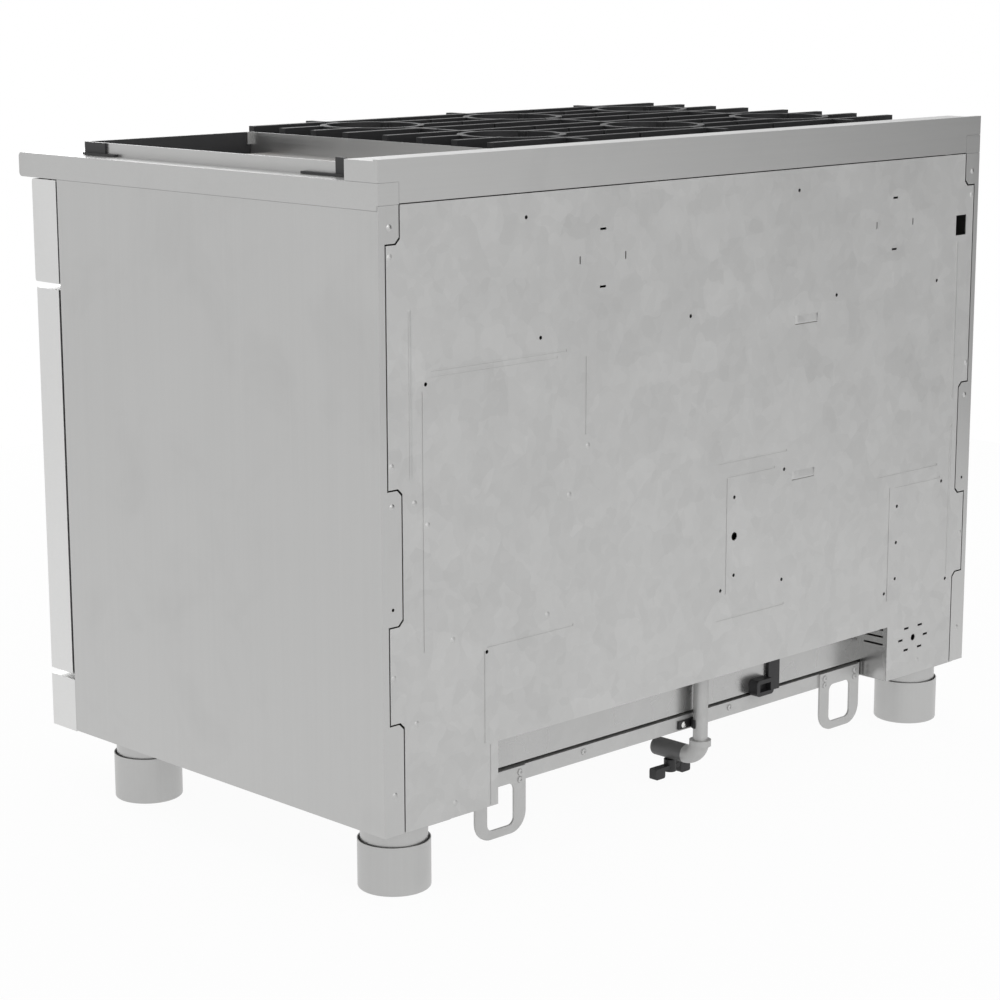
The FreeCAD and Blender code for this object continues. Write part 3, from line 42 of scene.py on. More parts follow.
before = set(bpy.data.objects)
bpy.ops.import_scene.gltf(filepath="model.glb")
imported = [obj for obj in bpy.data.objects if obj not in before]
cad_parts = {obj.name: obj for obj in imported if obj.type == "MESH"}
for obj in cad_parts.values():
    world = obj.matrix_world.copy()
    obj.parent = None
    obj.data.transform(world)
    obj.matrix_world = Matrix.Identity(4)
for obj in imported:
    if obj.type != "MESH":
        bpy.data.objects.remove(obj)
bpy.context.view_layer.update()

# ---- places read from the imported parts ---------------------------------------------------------
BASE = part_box("side_panel_right")[0].z
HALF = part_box("side_panel_right")[1].x
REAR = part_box("rear_trim")[1].y
FLANGE_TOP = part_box("rear_panel")[1].z
PANEL_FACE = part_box("control_panel")[0].y
KNOBS = sorted(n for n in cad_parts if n.startswith("knob_"))
FEET = sorted(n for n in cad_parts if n.startswith("foot_"))
GRATES = sorted(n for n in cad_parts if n.startswith("grate_"))
OVENS = ("large", "small")


# ---- shader maths ------------------------------------------------------------------------------
class Wire:
    """A shader socket that takes part in sums and products of numbers."""

    def __init__(self, nodes, socket):
        self.nodes = nodes
        self.socket = socket

    def maths(self, operation, a, b):
        return self.nodes.node("ShaderNodeMath", {"operation": operation}, {0: a, 1: b})

    def __add__(self, other):
        return self.maths("ADD", self, other)

    def __radd__(self, other):
        return self.maths("ADD", other, self)

    def __sub__(self, other):
        return self.maths("SUBTRACT", self, other)

    def __rsub__(self, other):
        return self.maths("SUBTRACT", other, self)

    def __mul__(self, other):
        return self.maths("MULTIPLY", self, other)

    def __rmul__(self, other):
        return self.maths("MULTIPLY", other, self)

    def maximum(self, other):
        return self.maths("MAXIMUM", self, other)


class Nodes:
    """A node tree, and one way to add any node to it."""

    def __init__(self, tree):
        self.tree = tree

    def node(self, kind, settings=None, inputs=None, output=None):
        """Adds a node: its settings first, then its sockets' values or links. Gives one output."""
        made = self.tree.nodes.new(kind)
        for key, value in (settings or {}).items():
            if key == "stops":
                self.set_stops(made.color_ramp, value)
            else:
                setattr(made, key, value)
        for key, value in (inputs or {}).items():
            self.feed(self.socket_of(made, key), value)
        live = [s for s in made.outputs if s.enabled]
        found = made.outputs[output] if output else (live[0] if live else None)
        return Wire(self, found) if found else made

    @staticmethod
    def set_stops(ramp, stops):
        while len(ramp.elements) < len(stops):
            ramp.elements.new(0.5)
        for element, (position, value) in zip(ramp.elements, stops):
            element.position = position
            element.color = (value, value, value, 1.0)

    @staticmethod
    def socket_of(made, key):
        if isinstance(key, int):
            return made.inputs[key]
        return next(s for s in made.inputs if s.name == key and s.enabled)

    def feed(self, socket, value):
        if isinstance(value, Wire):
            self.tree.links.new(value.socket, socket)
        else:
            socket.default_value = value

    def ray(self, kind):
        """1 on rays of one kind, such as "Camera", and 0 on the others."""
        return self.node("ShaderNodeLightPath", output="Is %s Ray" % kind)

    def dot(self, a, b):
        return self.node("ShaderNodeVectorMath", {"operation": "DOT_PRODUCT"}, {0: a, 1: b}, "Value")


class Paint(Nodes):
    """A material with a Principled surface, and short ways to add what varies over it."""

    def __init__(self, name):
        self.material = bpy.data.materials.new(name)
        self.material.use_nodes = True
        super().__init__(self.material.node_tree)
        self.surface = self.tree.nodes["Principled BSDF"]
        self.place = self.node("ShaderNodeTexCoord", output="Object")

    def set(self, **values):
        """Feeds the surface's own sockets: base_color= is Base Color, and so on."""
        for key, value in values.items():
            self.feed(self.surface.inputs[key.replace("_", " ").title()], value)

    def stretched(self, scale, turn=(0.0, 0.0, 0.0)):
        """Object coordinates scaled by a different amount along each axis."""
        sockets = {"Vector": self.place, "Scale": scale, "Rotation": turn}
        return self.node("ShaderNodeMapping", None, sockets)

    def warped(self, scale, reach):
        """Object coordinates pushed about by a soft noise, up to reach along each axis."""
        push = self.node("ShaderNodeTexNoise", None, {"Vector": self.place, "Scale": scale}, "Color")
        return self.node("ShaderNodeVectorMath", {"operation": "MULTIPLY_ADD"},
                         {0: push, 1: (reach, reach, reach), 2: self.place})

    def noise(self, scale, detail=3.0, rough=0.55, vector=None, distortion=0.0):
        sockets = {"Vector": vector or self.place, "Scale": scale, "Detail": detail, "Roughness": rough}
        sockets["Distortion"] = distortion
        return self.node("ShaderNodeTexNoise", None, sockets)

    def cells(self, scale, vector=None, output="Distance"):
        sockets = {"Vector": vector or self.place, "Scale": scale}
        return self.node("ShaderNodeTexVoronoi", None, sockets, output)

    def cell_shades(self, scale, vector):
        """One random shade of grey for each cell."""
        return self.node("ShaderNodeRGBToBW", None, {"Color": self.cells(scale, vector, "Color")})

    def waves(self, settings=None, **sockets):
        named = {key.title(): value for key, value in sockets.items()}
        return self.node("ShaderNodeTexWave", settings, named)

    def ramp(self, value, stops):
        return self.node("ShaderNodeValToRGB", {"stops": stops}, {"Fac": value})

    def blend(self, share, a, b):
        """Colour a where share is 0 and b where it is 1."""
        return self.node("ShaderNodeMix", {"data_type": "RGBA"}, {"Factor": share, "A": a, "B": b})

    def toned(self, colour, tone):
        """A colour times a number that varies."""
        grey = self.node("ShaderNodeCombineColor", None, {0: tone, 1: tone, 2: tone})
        return self.node("ShaderNodeMix", {"data_type": "RGBA", "blend_type": "MULTIPLY"},
                         {"Factor": 1.0, "A": rgba(colour), "B": grey})

    def bump(self, height, depth, normal=None):
        sockets = {"Height": height, "Strength": 1.0, "Distance": depth}
        if normal:
            sockets["Normal"] = normal
        return self.node("ShaderNodeBump", None, sockets)

    def rounded(self, radius):
        """Normals that run round every edge, as on a casting."""
        return self.node("ShaderNodeBevel", {"samples": 6}, {"Radius": radius})


def rgba(colour):
    return (colour[0], colour[1], colour[2], 1.0)


def shade(colour, share):
    return tuple(c * share for c in colour[:3]) + (1.0,)


# ---- finishes ----------------------------------------------------------------------------------
def brushed_steel(name, colour, along, roughness=0.34):
    """Stainless sheet: fine grain along one axis over broad, weak clouds and a few handling smears."""
    paint = Paint(name)
    across = {"x": (3.0, 320.0, 320.0), "y": (320.0, 3.0, 320.0), "z": (320.0, 320.0, 3.0)}[along]
    grain = paint.noise(1.0, 4.0, 0.62, paint.stretched(across))
    coarse = paint.noise(0.28, 2.0, 0.5, paint.stretched(across))
    cloud = paint.noise(2.2, 3.0, 0.5)
    smear = paint.ramp(paint.noise(7.0, 4.0, 0.6, distortion=0.6), ((0.52, 0.0), (0.72, 1.0)))
    tone = grain * 0.07 + coarse * 0.025 + cloud * 0.10 + 0.90 - smear * 0.025
    paint.set(base_color=paint.toned(colour, tone), metallic=0.85)
    paint.set(roughness=grain * 0.12 + smear * 0.06 + (roughness - 0.06))
    paint.set(normal=paint.bump(grain + coarse * 0.5, 0.00003))
    return paint.material


def galvanised(name, colour, spangle=1.0, roughness=0.46, metallic=0.6):
    """Zinc-coated sheet: overlapping soft flowers of zinc, pale flecks and a thin, dull bloom."""
    paint = Paint(name)
    swirl = paint.noise(14.0, 3.0, 0.6)
    place = paint.warped(26.0, 0.030)
    large = paint.cell_shades(24.0, place)
    small = paint.cell_shades(60.0, place)
    cloud = paint.noise(4.0, 4.0, 0.55)
    fleck = paint.ramp(paint.noise(150.0, 2.0, 0.6), ((0.62, 0.0), (0.74, 1.0)))
    flowers = large * 0.10 * spangle + small * 0.06 * spangle
    tone = flowers + cloud * 0.14 + swirl * 0.10 + fleck * 0.03 + 0.80
    paint.set(base_color=paint.toned(colour, tone), metallic=metallic)
    paint.set(roughness=large * 0.10 + cloud * 0.12 + (roughness - 0.10))
    paint.set(normal=paint.bump(small * 0.4 + swirl, 0.00008))
    return paint.material


def cast_iron(name, colour, roughness=0.5, radius=0.0014):
    """Sand-cast iron with a baked black coat: fine pits, and a painted highlight that makes it paler on its
    rounded edges.
    """
    paint = Paint(name)
    sand = paint.noise(420.0, 4.0, 0.65)
    pits = paint.cells(260.0)
    cloud = paint.noise(18.0, 3.0, 0.55)
    edges = paint.rounded(radius)
    flat = paint.node("ShaderNodeNewGeometry", output="Normal")
    painted_edge_highlight = paint.ramp(paint.dot(edges, flat), ((0.80, 1.0), (0.985, 0.0)))
    # Painted highlight: the base colour turns paler where the rounded edge normals leave the flat ones; the
    # sand adds random pale flecks.
    share = painted_edge_highlight * 0.55 * cloud + sand * 0.22
    paint.set(base_color=paint.blend(share, rgba(colour), shade(colour, 4.5)), metallic=0.15)
    paint.set(roughness=sand * 0.2 + cloud * 0.14 + (roughness - 0.15))
    paint.set(normal=paint.bump(sand + pits * 0.6, 0.00022, edges))
    return paint.material


def enamel(name, colour, speck):
    """Glass enamel on steel: glossy, slightly rippled, with fine specks."""
    paint = Paint(name)
    ripple = paint.noise(35.0, 2.0, 0.5)
    dots = paint.ramp(paint.cells(330.0), ((0.10, 1.0), (0.20, 0.0)))
    haze = paint.noise(9.0, 3.0, 0.6)
    tint = paint.blend(dots * 0.55, paint.blend(haze, rgba(colour), shade(colour, 1.35)), rgba(speck))
    paint.set(base_color=tint, metallic=0.0, coat_weight=0.35, coat_roughness=0.08)
    paint.set(roughness=haze * 0.15 + 0.16)
    paint.set(normal=paint.bump(ripple, 0.00025))
    return paint.material


def satin_black(name, colour, roughness=0.42):
    """Powder-coated steel: orange peel, faint dust on it."""
    paint = Paint(name)
    peel = paint.noise(520.0, 2.0, 0.5)
    dust = paint.noise(6.0, 5.0, 0.6)
    paint.set(base_color=paint.blend(dust * 0.5, rgba(colour), shade(colour, 2.2)), metallic=0.0)
    paint.set(roughness=dust * 0.16 + (roughness - 0.08))
    paint.set(normal=paint.bump(peel, 0.00005))
    return paint.material


def moulded(name, colour, roughness=0.5):
    """Moulded plastic with a fine spark-eroded texture."""
    paint = Paint(name)
    skin = paint.noise(900.0, 3.0, 0.6)
    rub = paint.noise(24.0, 3.0, 0.6)
    paint.set(base_color=paint.blend(rub * 0.5, rgba(colour), shade(colour, 1.9)), metallic=0.0)
    paint.set(roughness=rub * 0.18 + (roughness - 0.09))
    paint.set(normal=paint.bump(skin, 0.00006))
    return paint.material


def pipe_metal(name, colour, metallic=0.55, roughness=0.42):
    """Drawn or cast fitting: cloudy, with fine scratches and a dull film."""
    paint = Paint(name)
    cloud = paint.noise(28.0, 4.0, 0.6)
    scratch = paint.noise(1.0, 3.0, 0.6, paint.stretched((700.0, 700.0, 40.0)))
    pit = paint.noise(380.0, 3.0, 0.6)
    tint = paint.blend(cloud * 0.7 + scratch * 0.3, shade(colour, 0.78), shade(colour, 1.22))
    paint.set(base_color=tint, metallic=metallic)
    paint.set(roughness=cloud * 0.2 + (roughness - 0.08))
    paint.set(normal=paint.bump(pit + scratch * 0.5, 0.00006))
    return paint.material


def plated(name, colour, roughness=0.14):
    """Bright nickel or chrome plate with a little haze."""
    paint = Paint(name)
    haze = paint.noise(45.0, 3.0, 0.6)
    paint.set(base_color=paint.blend(haze * 0.6, rgba(colour), shade(colour, 0.85)), metallic=1.0)
    paint.set(roughness=haze * 0.10 + (roughness - 0.03))
    paint.set(normal=paint.bump(paint.noise(600.0, 2.0), 0.00001))
    return paint.material


def ground_plate(name, colour):
    """Griddle plate: ground steel with arcs of the grinding stone, seasoned brown in patches."""
    paint = Paint(name)
    rings = {"wave_type": "RINGS", "rings_direction": "Z"}
    flat = paint.stretched((1.0, 1.0, 0.0))
    arcs = paint.waves(rings, vector=flat, scale=160.0, distortion=1.2, detail=3.0)
    patch = paint.ramp(paint.noise(7.0, 5.0, 0.6, distortion=0.4), ((0.40, 0.0), (0.68, 1.0)))
    base = paint.blend(arcs * 0.35, rgba(colour), shade(colour, 0.72))
    paint.set(base_color=paint.blend(patch * 0.45, base, (0.16, 0.12, 0.09, 1.0)), metallic=0.85)
    paint.set(roughness=arcs * 0.10 + patch * 0.14 + 0.26)
    paint.set(normal=paint.bump(arcs, 0.00003))
    return paint.material


def wool(name, colour):
    """Mineral wool: matted fibres in two directions, with painted shade that darkens its hollows."""
    paint = Paint(name)
    fibres = paint.noise(1.0, 4.0, 0.7, paint.stretched((900.0, 90.0, 500.0)))
    more = paint.noise(1.0, 4.0, 0.7, paint.stretched((90.0, 700.0, 700.0)))
    tufts = paint.noise(60.0, 4.0, 0.65)
    # Painted shade: the colour is darker where the tufts and fibres make the bump low.
    paint.set(base_color=paint.blend(tufts * 0.6 + fibres * 0.4, shade(colour, 0.6), shade(colour, 1.2)))
    paint.set(roughness=0.95 - fibres * 0.08, metallic=0.0)
    paint.set(normal=paint.bump(fibres + more + tufts, 0.0015))
    return paint.material


def braid(name, colour):
    """Woven glass gasket: small crossed strands, with painted shade that darkens the low parts between them.
    """
    paint = Paint(name)
    first, second = (paint.waves(vector=paint.stretched((1.0, 1.0, 1.0), (turn, 0.0, turn)), scale=170.0,
                                 distortion=0.6) for turn in (0.8, -0.8))
    weave = first * second
    # Painted shade: the colour is darker where the weave makes the bump low, between the strands.
    paint.set(base_color=paint.blend(weave, shade(colour, 0.55), rgba(colour)), metallic=0.0)
    paint.set(roughness=0.9 - weave * 0.1)
    paint.set(normal=paint.bump(weave, 0.0006))
    return paint.material


def fired_clay(name, colour):
    """Unglazed ceramic of the spark electrodes, smoked at random."""
    paint = Paint(name)
    smoke = paint.noise(55.0, 4.0, 0.6)
    paint.set(base_color=paint.blend(smoke * 0.6, rgba(colour), (0.30, 0.26, 0.22, 1.0)), metallic=0.0)
    paint.set(roughness=smoke * 0.2 + 0.45)
    paint.set(normal=paint.bump(paint.noise(700.0, 2.0), 0.00005))
    return paint.material


# ---- surfaces ----------------------------------------------------------------------------------
SHARP_ANGLE = math.radians(35)


def mesh_from_grids(name, grids, body, material, closed_rows=False):
    """Makes one piece of grids of points: grids has the shape (count, rows, columns, 3).

    Each grid's columns join up round it. Its rows are open, or joined up too for a closed tube. A first or
    last row drawn in to one point becomes a pole when doubles are merged.
    """
    count, rows, columns, _ = grids.shape
    row = np.arange(rows if closed_rows else rows - 1)
    column = np.arange(columns)
    r, c = np.meshgrid(row, column, indexing="ij")
    r2 = (r + 1) % rows
    c2 = (c + 1) % columns
    corners = r * columns + c, r * columns + c2, r2 * columns + c2, r2 * columns + c
    quads = np.stack(corners, -1).reshape(-1, 4)
    shift = (np.arange(count) * rows * columns)[:, None, None]
    faces = (quads[None] + shift).reshape(-1, 4)
    data = bpy.data.meshes.new(name)
    data.from_pydata(grids.reshape(-1, 3), [], faces.tolist())
    work = bmesh.new()
    work.from_mesh(data)
    bmesh.ops.remove_doubles(work, verts=work.verts, dist=1e-6)
    bmesh.ops.dissolve_degenerate(work, edges=work.edges, dist=1e-7)
    bmesh.ops.recalc_face_normals(work, faces=work.faces)
    work.to_mesh(data)
    work.free()
    data.shade_smooth()
    data.set_sharp_from_angle(angle=SHARP_ANGLE)
    piece = bpy.data.objects.new(name, data)
    bpy.context.scene.collection.objects.link(piece)
    data.materials.append(material)
    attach(piece, body)
    return piece


def turned(profile, centres, axis, around=24):
    """A lathe profile of (radius, rise) pairs, spun round an axis through each centre.

    A point is centre + radius * (cos a, sin a) across the axis + rise along it, for a from 0 to one turn.
    """
    profile = np.asarray(profile, float)
    centres = np.asarray(centres, float).reshape(-1, 3)
    direction = np.asarray(axis, float) / np.linalg.norm(axis)
    helper = np.array((0.0, 0.0, 1.0)) if abs(direction[2]) < 0.9 else np.array((1.0, 0.0, 0.0))
    u = np.cross(direction, helper)
    u /= np.linalg.norm(u)
    v = np.cross(direction, u)
    angle = np.linspace(0, 2 * np.pi, around, endpoint=False)
    ring = np.cos(angle)[:, None] * u + np.sin(angle)[:, None] * v
    local = profile[:, 0][:, None, None] * ring[None] + profile[:, 1][:, None, None] * direction
    return centres[:, None, None, :] + local[None]


def carried(path, outward, section):
    """A closed section carried along a closed path in the XZ plane.

    A point is path + the section's first value along the path's outward direction + its second along +Y.
    """
    section = np.asarray(section, float)
    shift = outward[:, None, :] * section[None, :, 0, None]
    depth = np.zeros((len(path), len(section), 3))
    depth[..., 1] = section[None, :, 1]
    return (path[:, None, :] + shift + depth)[None]


def rounded_rectangle(x0, x1, z0, z1, radius, steps=8):
    """Points and outward directions round a rectangle with quarter-circle corners, at Y = 0."""
    corners = ((x1 - radius, z1 - radius, 0.0), (x0 + radius, z1 - radius, 0.5),
               (x0 + radius, z0 + radius, 1.0), (x1 - radius, z0 + radius, 1.5))
    angle = np.concatenate([np.pi * (turn + np.linspace(0, 0.5, steps)) for _, _, turn in corners])
    centre = np.repeat([(x, 0.0, z) for x, z, _ in corners], steps, axis=0)
    outward = np.stack([np.cos(angle), np.zeros_like(angle), np.sin(angle)], -1)
    return centre + radius * outward, outward


HEAD_SINK = 0.0004  # how far a head's foot goes into the sheet


def dome(radius, height):
    """Profile of a low round head that stands on a sheet and is closed below it."""
    a = np.linspace(0, np.pi / 2, 7)
    crown = np.stack([radius * np.sin(a), height * np.cos(a)], -1)
    return np.concatenate([crown, [(radius, -HEAD_SINK), (0.0, -HEAD_SINK)]])


def pan_head(radius, height, recess):
    """Profile of a screw's head with a hollow in the middle, closed below."""
    return np.array([(0.0, height - recess), (0.28 * radius, height - recess), (0.36 * radius, height),
                     (0.72 * radius, height * 0.96), (0.93 * radius, height * 0.7), (radius, height * 0.3),
                     (radius, -HEAD_SINK), (0.0, -HEAD_SINK)])


# ---- what a user may change --------------------------------------------------------------------
def colour_property(name, description, default):
    return bpy.props.FloatVectorProperty(name=name, description=description, default=default, size=3,
                                         min=0.0, max=1.0, subtype="COLOR")


def length_property(name, description, default):
    return bpy.props.FloatProperty(name=name, description=description, default=default, min=0.0,
                                   unit="LENGTH")


def number_property(name, description, default):
    return bpy.props.FloatProperty(name=name, description=description, default=default)


class RANGE_PG_finishes(bpy.types.PropertyGroup):
    """Colours of the finishes."""

    stainless: colour_property("Stainless", "Brushed casing and worktop", (0.53, 0.53, 0.525))
    # A lighter copy of the stainless colour: painted sheen that stands for the brighter reflection of the
    # doors and front panels.
    bright: colour_property("Stainless with painted sheen", "Doors and control panel", (0.72, 0.72, 0.715))
    zinc: colour_property("Zinc", "Galvanised back and chassis", (0.56, 0.56, 0.555))
    iron: colour_property("Cast iron", "Grates", (0.012, 0.012, 0.013))
    burner: colour_property("Burner iron", "Burners", (0.055, 0.052, 0.05))
    black: colour_property("Satin black", "Trough and brackets", (0.018, 0.018, 0.019))
    plastic: colour_property("Black plastic", "Knobs, handle and rear fittings", (0.014, 0.014, 0.015))
    enamel: colour_property("Enamel", "Burner wells", (0.012, 0.012, 0.013))
    oven: colour_property("Oven enamel", "Ovens and door liners", (0.045, 0.05, 0.062))
    pipe: colour_property("Pipe", "Gas pipe and elbow", (0.50, 0.50, 0.495))
    valve: colour_property("Valve", "Shut-off valve", (0.15, 0.15, 0.15))
    brass: colour_property("Brass", "Cocks and spindles", (0.72, 0.52, 0.24))
    wool: colour_property("Wool", "Oven insulation", (0.62, 0.55, 0.33))


class RANGE_PG_trim(bpy.types.PropertyGroup):
    """Sizes of the added pieces."""

    louvre_length: length_property("Louvre length", "Lanced louvres of the back", 0.0500)
    louvre_height: length_property("Louvre height", "Their height up the back", 0.0120)
    press_rise: length_property("Pressing", "How far the louvres stand out of the sheet", 0.0011)
    screw_radius: length_property("Screw radius", "Screw heads on the rail and the loops", 0.0046)
    bezel_radius: length_property("Bezel radius", "Ring behind each knob", 0.0310)
    gasket_width: length_property("Gasket width", "Woven seal on the oven doors", 0.0105)
    electrode_height: length_property("Electrode height", "Spark electrodes above the wells", 0.0230)


class RANGE_PG_stage(bpy.types.PropertyGroup):
    """Camera, lamps and floor."""

    camera: bpy.props.FloatVectorProperty(name="Camera", description="Where the camera stands", size=3,
                                          default=(2.65119, 2.67906, 1.16564), subtype="TRANSLATION")
    azimuth: number_property("Azimuth", "Camera's angle round the range, in degrees", 135.589)
    elevation: number_property("Elevation", "Camera's angle above the horizon, in degrees", 11.81)
    roll: number_property("Roll", "Camera's turn about its own axis, in degrees", -0.12)
    lens: number_property("Lens", "Focal length for a 36 mm sensor, in millimetres", 92.95)
    key: number_property("Key light", "Softbox behind the range, in watts", 45.0)
    fill: number_property("Fill light", "Softbox before the range, in watts", 60.0)
    top: number_property("Top light", "Softbox above the range, in watts", 24.0)
    floor_radius: length_property("Floor radius", "Half the floor's width", 2.6)


# ---- pieces ------------------------------------------------------------------------------------
# Rises on the back are measured from the casing's lower edge.
LOUVRE_ACROSS = -0.2025
LOUVRE_RISES = (0.352, 0.576)
BEAD_INSET = 0.049  # from the casing's side to the middle of a bead
BEAD_WIDTH = 0.0042
BEAD_MARGIN = 0.005  # how much longer a bead is than the line that it covers
PRESS_SINK = 0.0008  # how far a pressing's foot goes into the sheet
BEAD_END = FLANGE_TOP - BASE
BEADS = ((-1, 0.417, BEAD_END - 0.132),  # side, low end, high end
         (-1, 0.143, 0.377),
         (1, 0.451, BEAD_END - 0.130))
LOOP_MIDDLE = 0.360
LOOP_SCREW_REACH = 0.036  # from a loop's middle to its screws
LOOP_SCREW_RISES = (0.013, 0.0025)
LOOP_PLATE = 0.003
RAIL_SCREWS = (-0.107, 0.198)
RAIL_SCREW_RISE = 0.0125
CLAMP_SCREW_INSET = 0.010
CLAMP_EAR = 0.0028
CLAMP_SCREW_RISE = 0.009
DIAL_SWEEP = range(0, 271, 45)  # degrees from the top mark to the last
DIAL_GAP = 0.006  # from the knob's ring to the dial marks
GASKET_INSET = 0.0125
GASKET_CORNER = 0.018
GASKET_HALF = 0.00115  # half of its thickness
WELL_FLOOR = 0.0015  # thickness of the wells' floor
ELECTRODE_REACH = 0.040  # from a burner's middle, along X and along Y


def paint_nodes(material, *names):
    for name in names:
        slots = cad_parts[name].data.materials
        slots.clear()
        slots.append(material)


class RANGE_OT_finishes(bpy.types.Operator):
    """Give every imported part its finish"""

    bl_idname = "range.finishes"
    bl_label = "Finishes"

    def execute(self, context):
        colours = context.scene.range_finishes
        paint_nodes(brushed_steel("casing_steel", colours.stainless, "z", 0.36), "side_panel_left",
                    "side_panel_right")
        paint_nodes(brushed_steel("top_steel", colours.stainless, "x", 0.33), "worktop", "rear_trim")
        paint_nodes(brushed_steel("guard_steel", colours.stainless, "y", 0.30), "griddle_guards")
        doors = ["door_%s_%s" % (part, oven) for part in ("skin", "liner", "handle") for oven in OVENS]
        # The control panel, kick plate and doors take the lighter stainless colour as painted sheen for their
        # brighter reflection.
        paint_nodes(brushed_steel("front_steel_painted_sheen", colours.bright, "x", 0.38), "control_panel", "kick_plate",
                    *doors)
        foot_colour = shade(colours.stainless, 0.93)
        paint_nodes(brushed_steel("foot_steel", foot_colour, "z", 0.34), *FEET, "leg_tubes")
        paint_nodes(galvanised("back_zinc", colours.zinc), "rear_panel")
        paint_nodes(galvanised("chassis_zinc", colours.zinc, 0.6), "rear_rail", "chassis_frame")
        # Painted shade: the recess box's zinc is 0.88 as light as the zinc colour, standing for the shade
        # inside the recess.
        paint_nodes(galvanised("recess_zinc_painted_shade", shade(colours.zinc, 0.88), 0.4, 0.26, 0.9), "gas_recess_box")
        paint_nodes(enamel("well_enamel", colours.enamel, (0.05, 0.05, 0.05)), "burner_wells")
        oven_boxes = ["oven_box_" + oven for oven in OVENS]
        paint_nodes(enamel("oven_enamel", colours.oven, (0.45, 0.46, 0.48)), *oven_boxes)
        paint_nodes(cast_iron("grate_iron", colours.iron), *GRATES)
        paint_nodes(cast_iron("burner_iron", colours.burner, 0.6, 0.0008), "burners")
        paint_nodes(ground_plate("griddle_steel", shade(colours.stainless, 0.85)), "griddle_plate")
        paint_nodes(satin_black("coated_black", colours.black), "griddle_trough")
        paint_nodes(moulded("fitting_black", colours.plastic, 0.5), "rear_fittings", "shutoff_handle")
        paint_nodes(moulded("knob_black", colours.plastic, 0.36), *KNOBS)
        paint_nodes(pipe_metal("pipe_grey", colours.pipe), "gas_pipe", "gas_manifold")
        paint_nodes(pipe_metal("valve_grey", colours.valve, 0.4, 0.5), "shutoff_valve")
        plugs = sorted(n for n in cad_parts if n.startswith("valve_plug"))
        paint_nodes(pipe_metal("cock_brass", colours.brass, 0.95, 0.3), "valve_bodies", *plugs)
        paint_nodes(plated("rack_chrome", (0.80, 0.80, 0.81)), "oven_racks")
        paint_nodes(wool("wool", colours.wool), "oven_insulation")
        return {"FINISHED"}


def pressed_up(length, across, height, slope, level, ramp=0.004):
    """A form pressed out of a sheet, as a grid of rings along its length, centred on the origin.

    Along its length t its rise is height * min(1, distance to the nearer end / ramp). Across it, the section
    goes straight up at one edge, is flat, and comes down over the last share slope of its width to the other.
    It runs along X if level, or else along Z.
    """
    end = np.linspace(-1, -1 + 4 * ramp / length, 7)
    t = np.concatenate([[-1.0], end, -end[::-1], [1.0]]) * length / 2
    rise = height * np.clip((length / 2 - np.abs(t)) / ramp, 0, 1)
    v = np.array([-0.5, -0.5, -0.42, 0.5 - slope, 0.5, 0.5]) * across
    share = np.array([0.0, 0.8, 1.0, 1.0, 0.0, 0.0])
    grid = np.zeros((len(t), len(v), 3))
    grid[..., 0] = t[:, None]
    grid[..., 1] = rise[:, None] * share
    grid[:, (0, -1), 1] = -PRESS_SINK
    grid[..., 2] = v
    grid[(0, -1), :, 1:] = grid[(0, -1), :, 1:].mean(axis=1, keepdims=True)
    return grid if level else grid[..., [2, 1, 0]]


class RANGE_OT_bridges(bpy.types.Operator):
    """Lanced louvres of the back over their slots, and the beads pressed beside its edges"""

    bl_idname = "range.bridges"
    bl_label = "Louvres and beads"

    def execute(self, context):
        trim = context.scene.range_trim
        zinc = bpy.data.materials["back_zinc"]
        louvre = pressed_up(trim.louvre_length, trim.louvre_height, trim.press_rise, 0.75, True)
        places = [(LOUVRE_ACROSS, REAR, BASE + rise) for rise in LOUVRE_RISES]
        grids = louvre[None] + np.array(places)[:, None, None]
        mesh_from_grids("lanced_louvres", grids, "chassis", zinc)
        for number, (side, low, high) in enumerate(BEADS, 1):
            bead = pressed_up(high - low + BEAD_MARGIN, BEAD_WIDTH, trim.press_rise * 0.55, 0.08, False)
            middle = np.array((side * (HALF - BEAD_INSET), REAR, BASE + (low + high) / 2))
            mesh_from_grids("side_bead_%d" % number, (bead + middle)[None], "chassis", zinc)
        return {"FINISHED"}


class RANGE_OT_rail_screws(bpy.types.Operator):
    """Screws on the rear rail, at the corners of the lift loops and on the pipe clamp"""

    bl_idname = "range.rail_screws"
    bl_label = "Rail screws"

    def execute(self, context):
        trim = context.scene.range_trim
        loop_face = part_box("rear_rail")[1].y
        rail_face = loop_face - LOOP_PLATE
        head = pan_head(trim.screw_radius, 0.0022, 0.0012)
        loops = [side * LOOP_MIDDLE + edge * LOOP_SCREW_REACH for side in (-1, 1) for edge in (-1, 1)]
        ends = [(x, loop_face, BASE + rise) for x in loops for rise in LOOP_SCREW_RISES]
        rail = [(x, rail_face, BASE + RAIL_SCREW_RISE) for x in RAIL_SCREWS]
        grids = turned(head, ends + rail, (0, 1, 0), 20)
        zinc = bpy.data.materials["chassis_zinc"]
        mesh_from_grids("rail_screws", grids, "chassis", zinc)
        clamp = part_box("rear_fittings")[1].x
        ear = [(clamp - CLAMP_SCREW_INSET, rail_face + CLAMP_EAR, BASE + CLAMP_SCREW_RISE)]
        bright = plated("screw_nickel", (0.82, 0.82, 0.81), 0.2)
        clamp_head = turned(head * 1.1, ear, (0, 1, 0), 20)
        mesh_from_grids("clamp_screw", clamp_head, "chassis", bright)
        return {"FINISHED"}


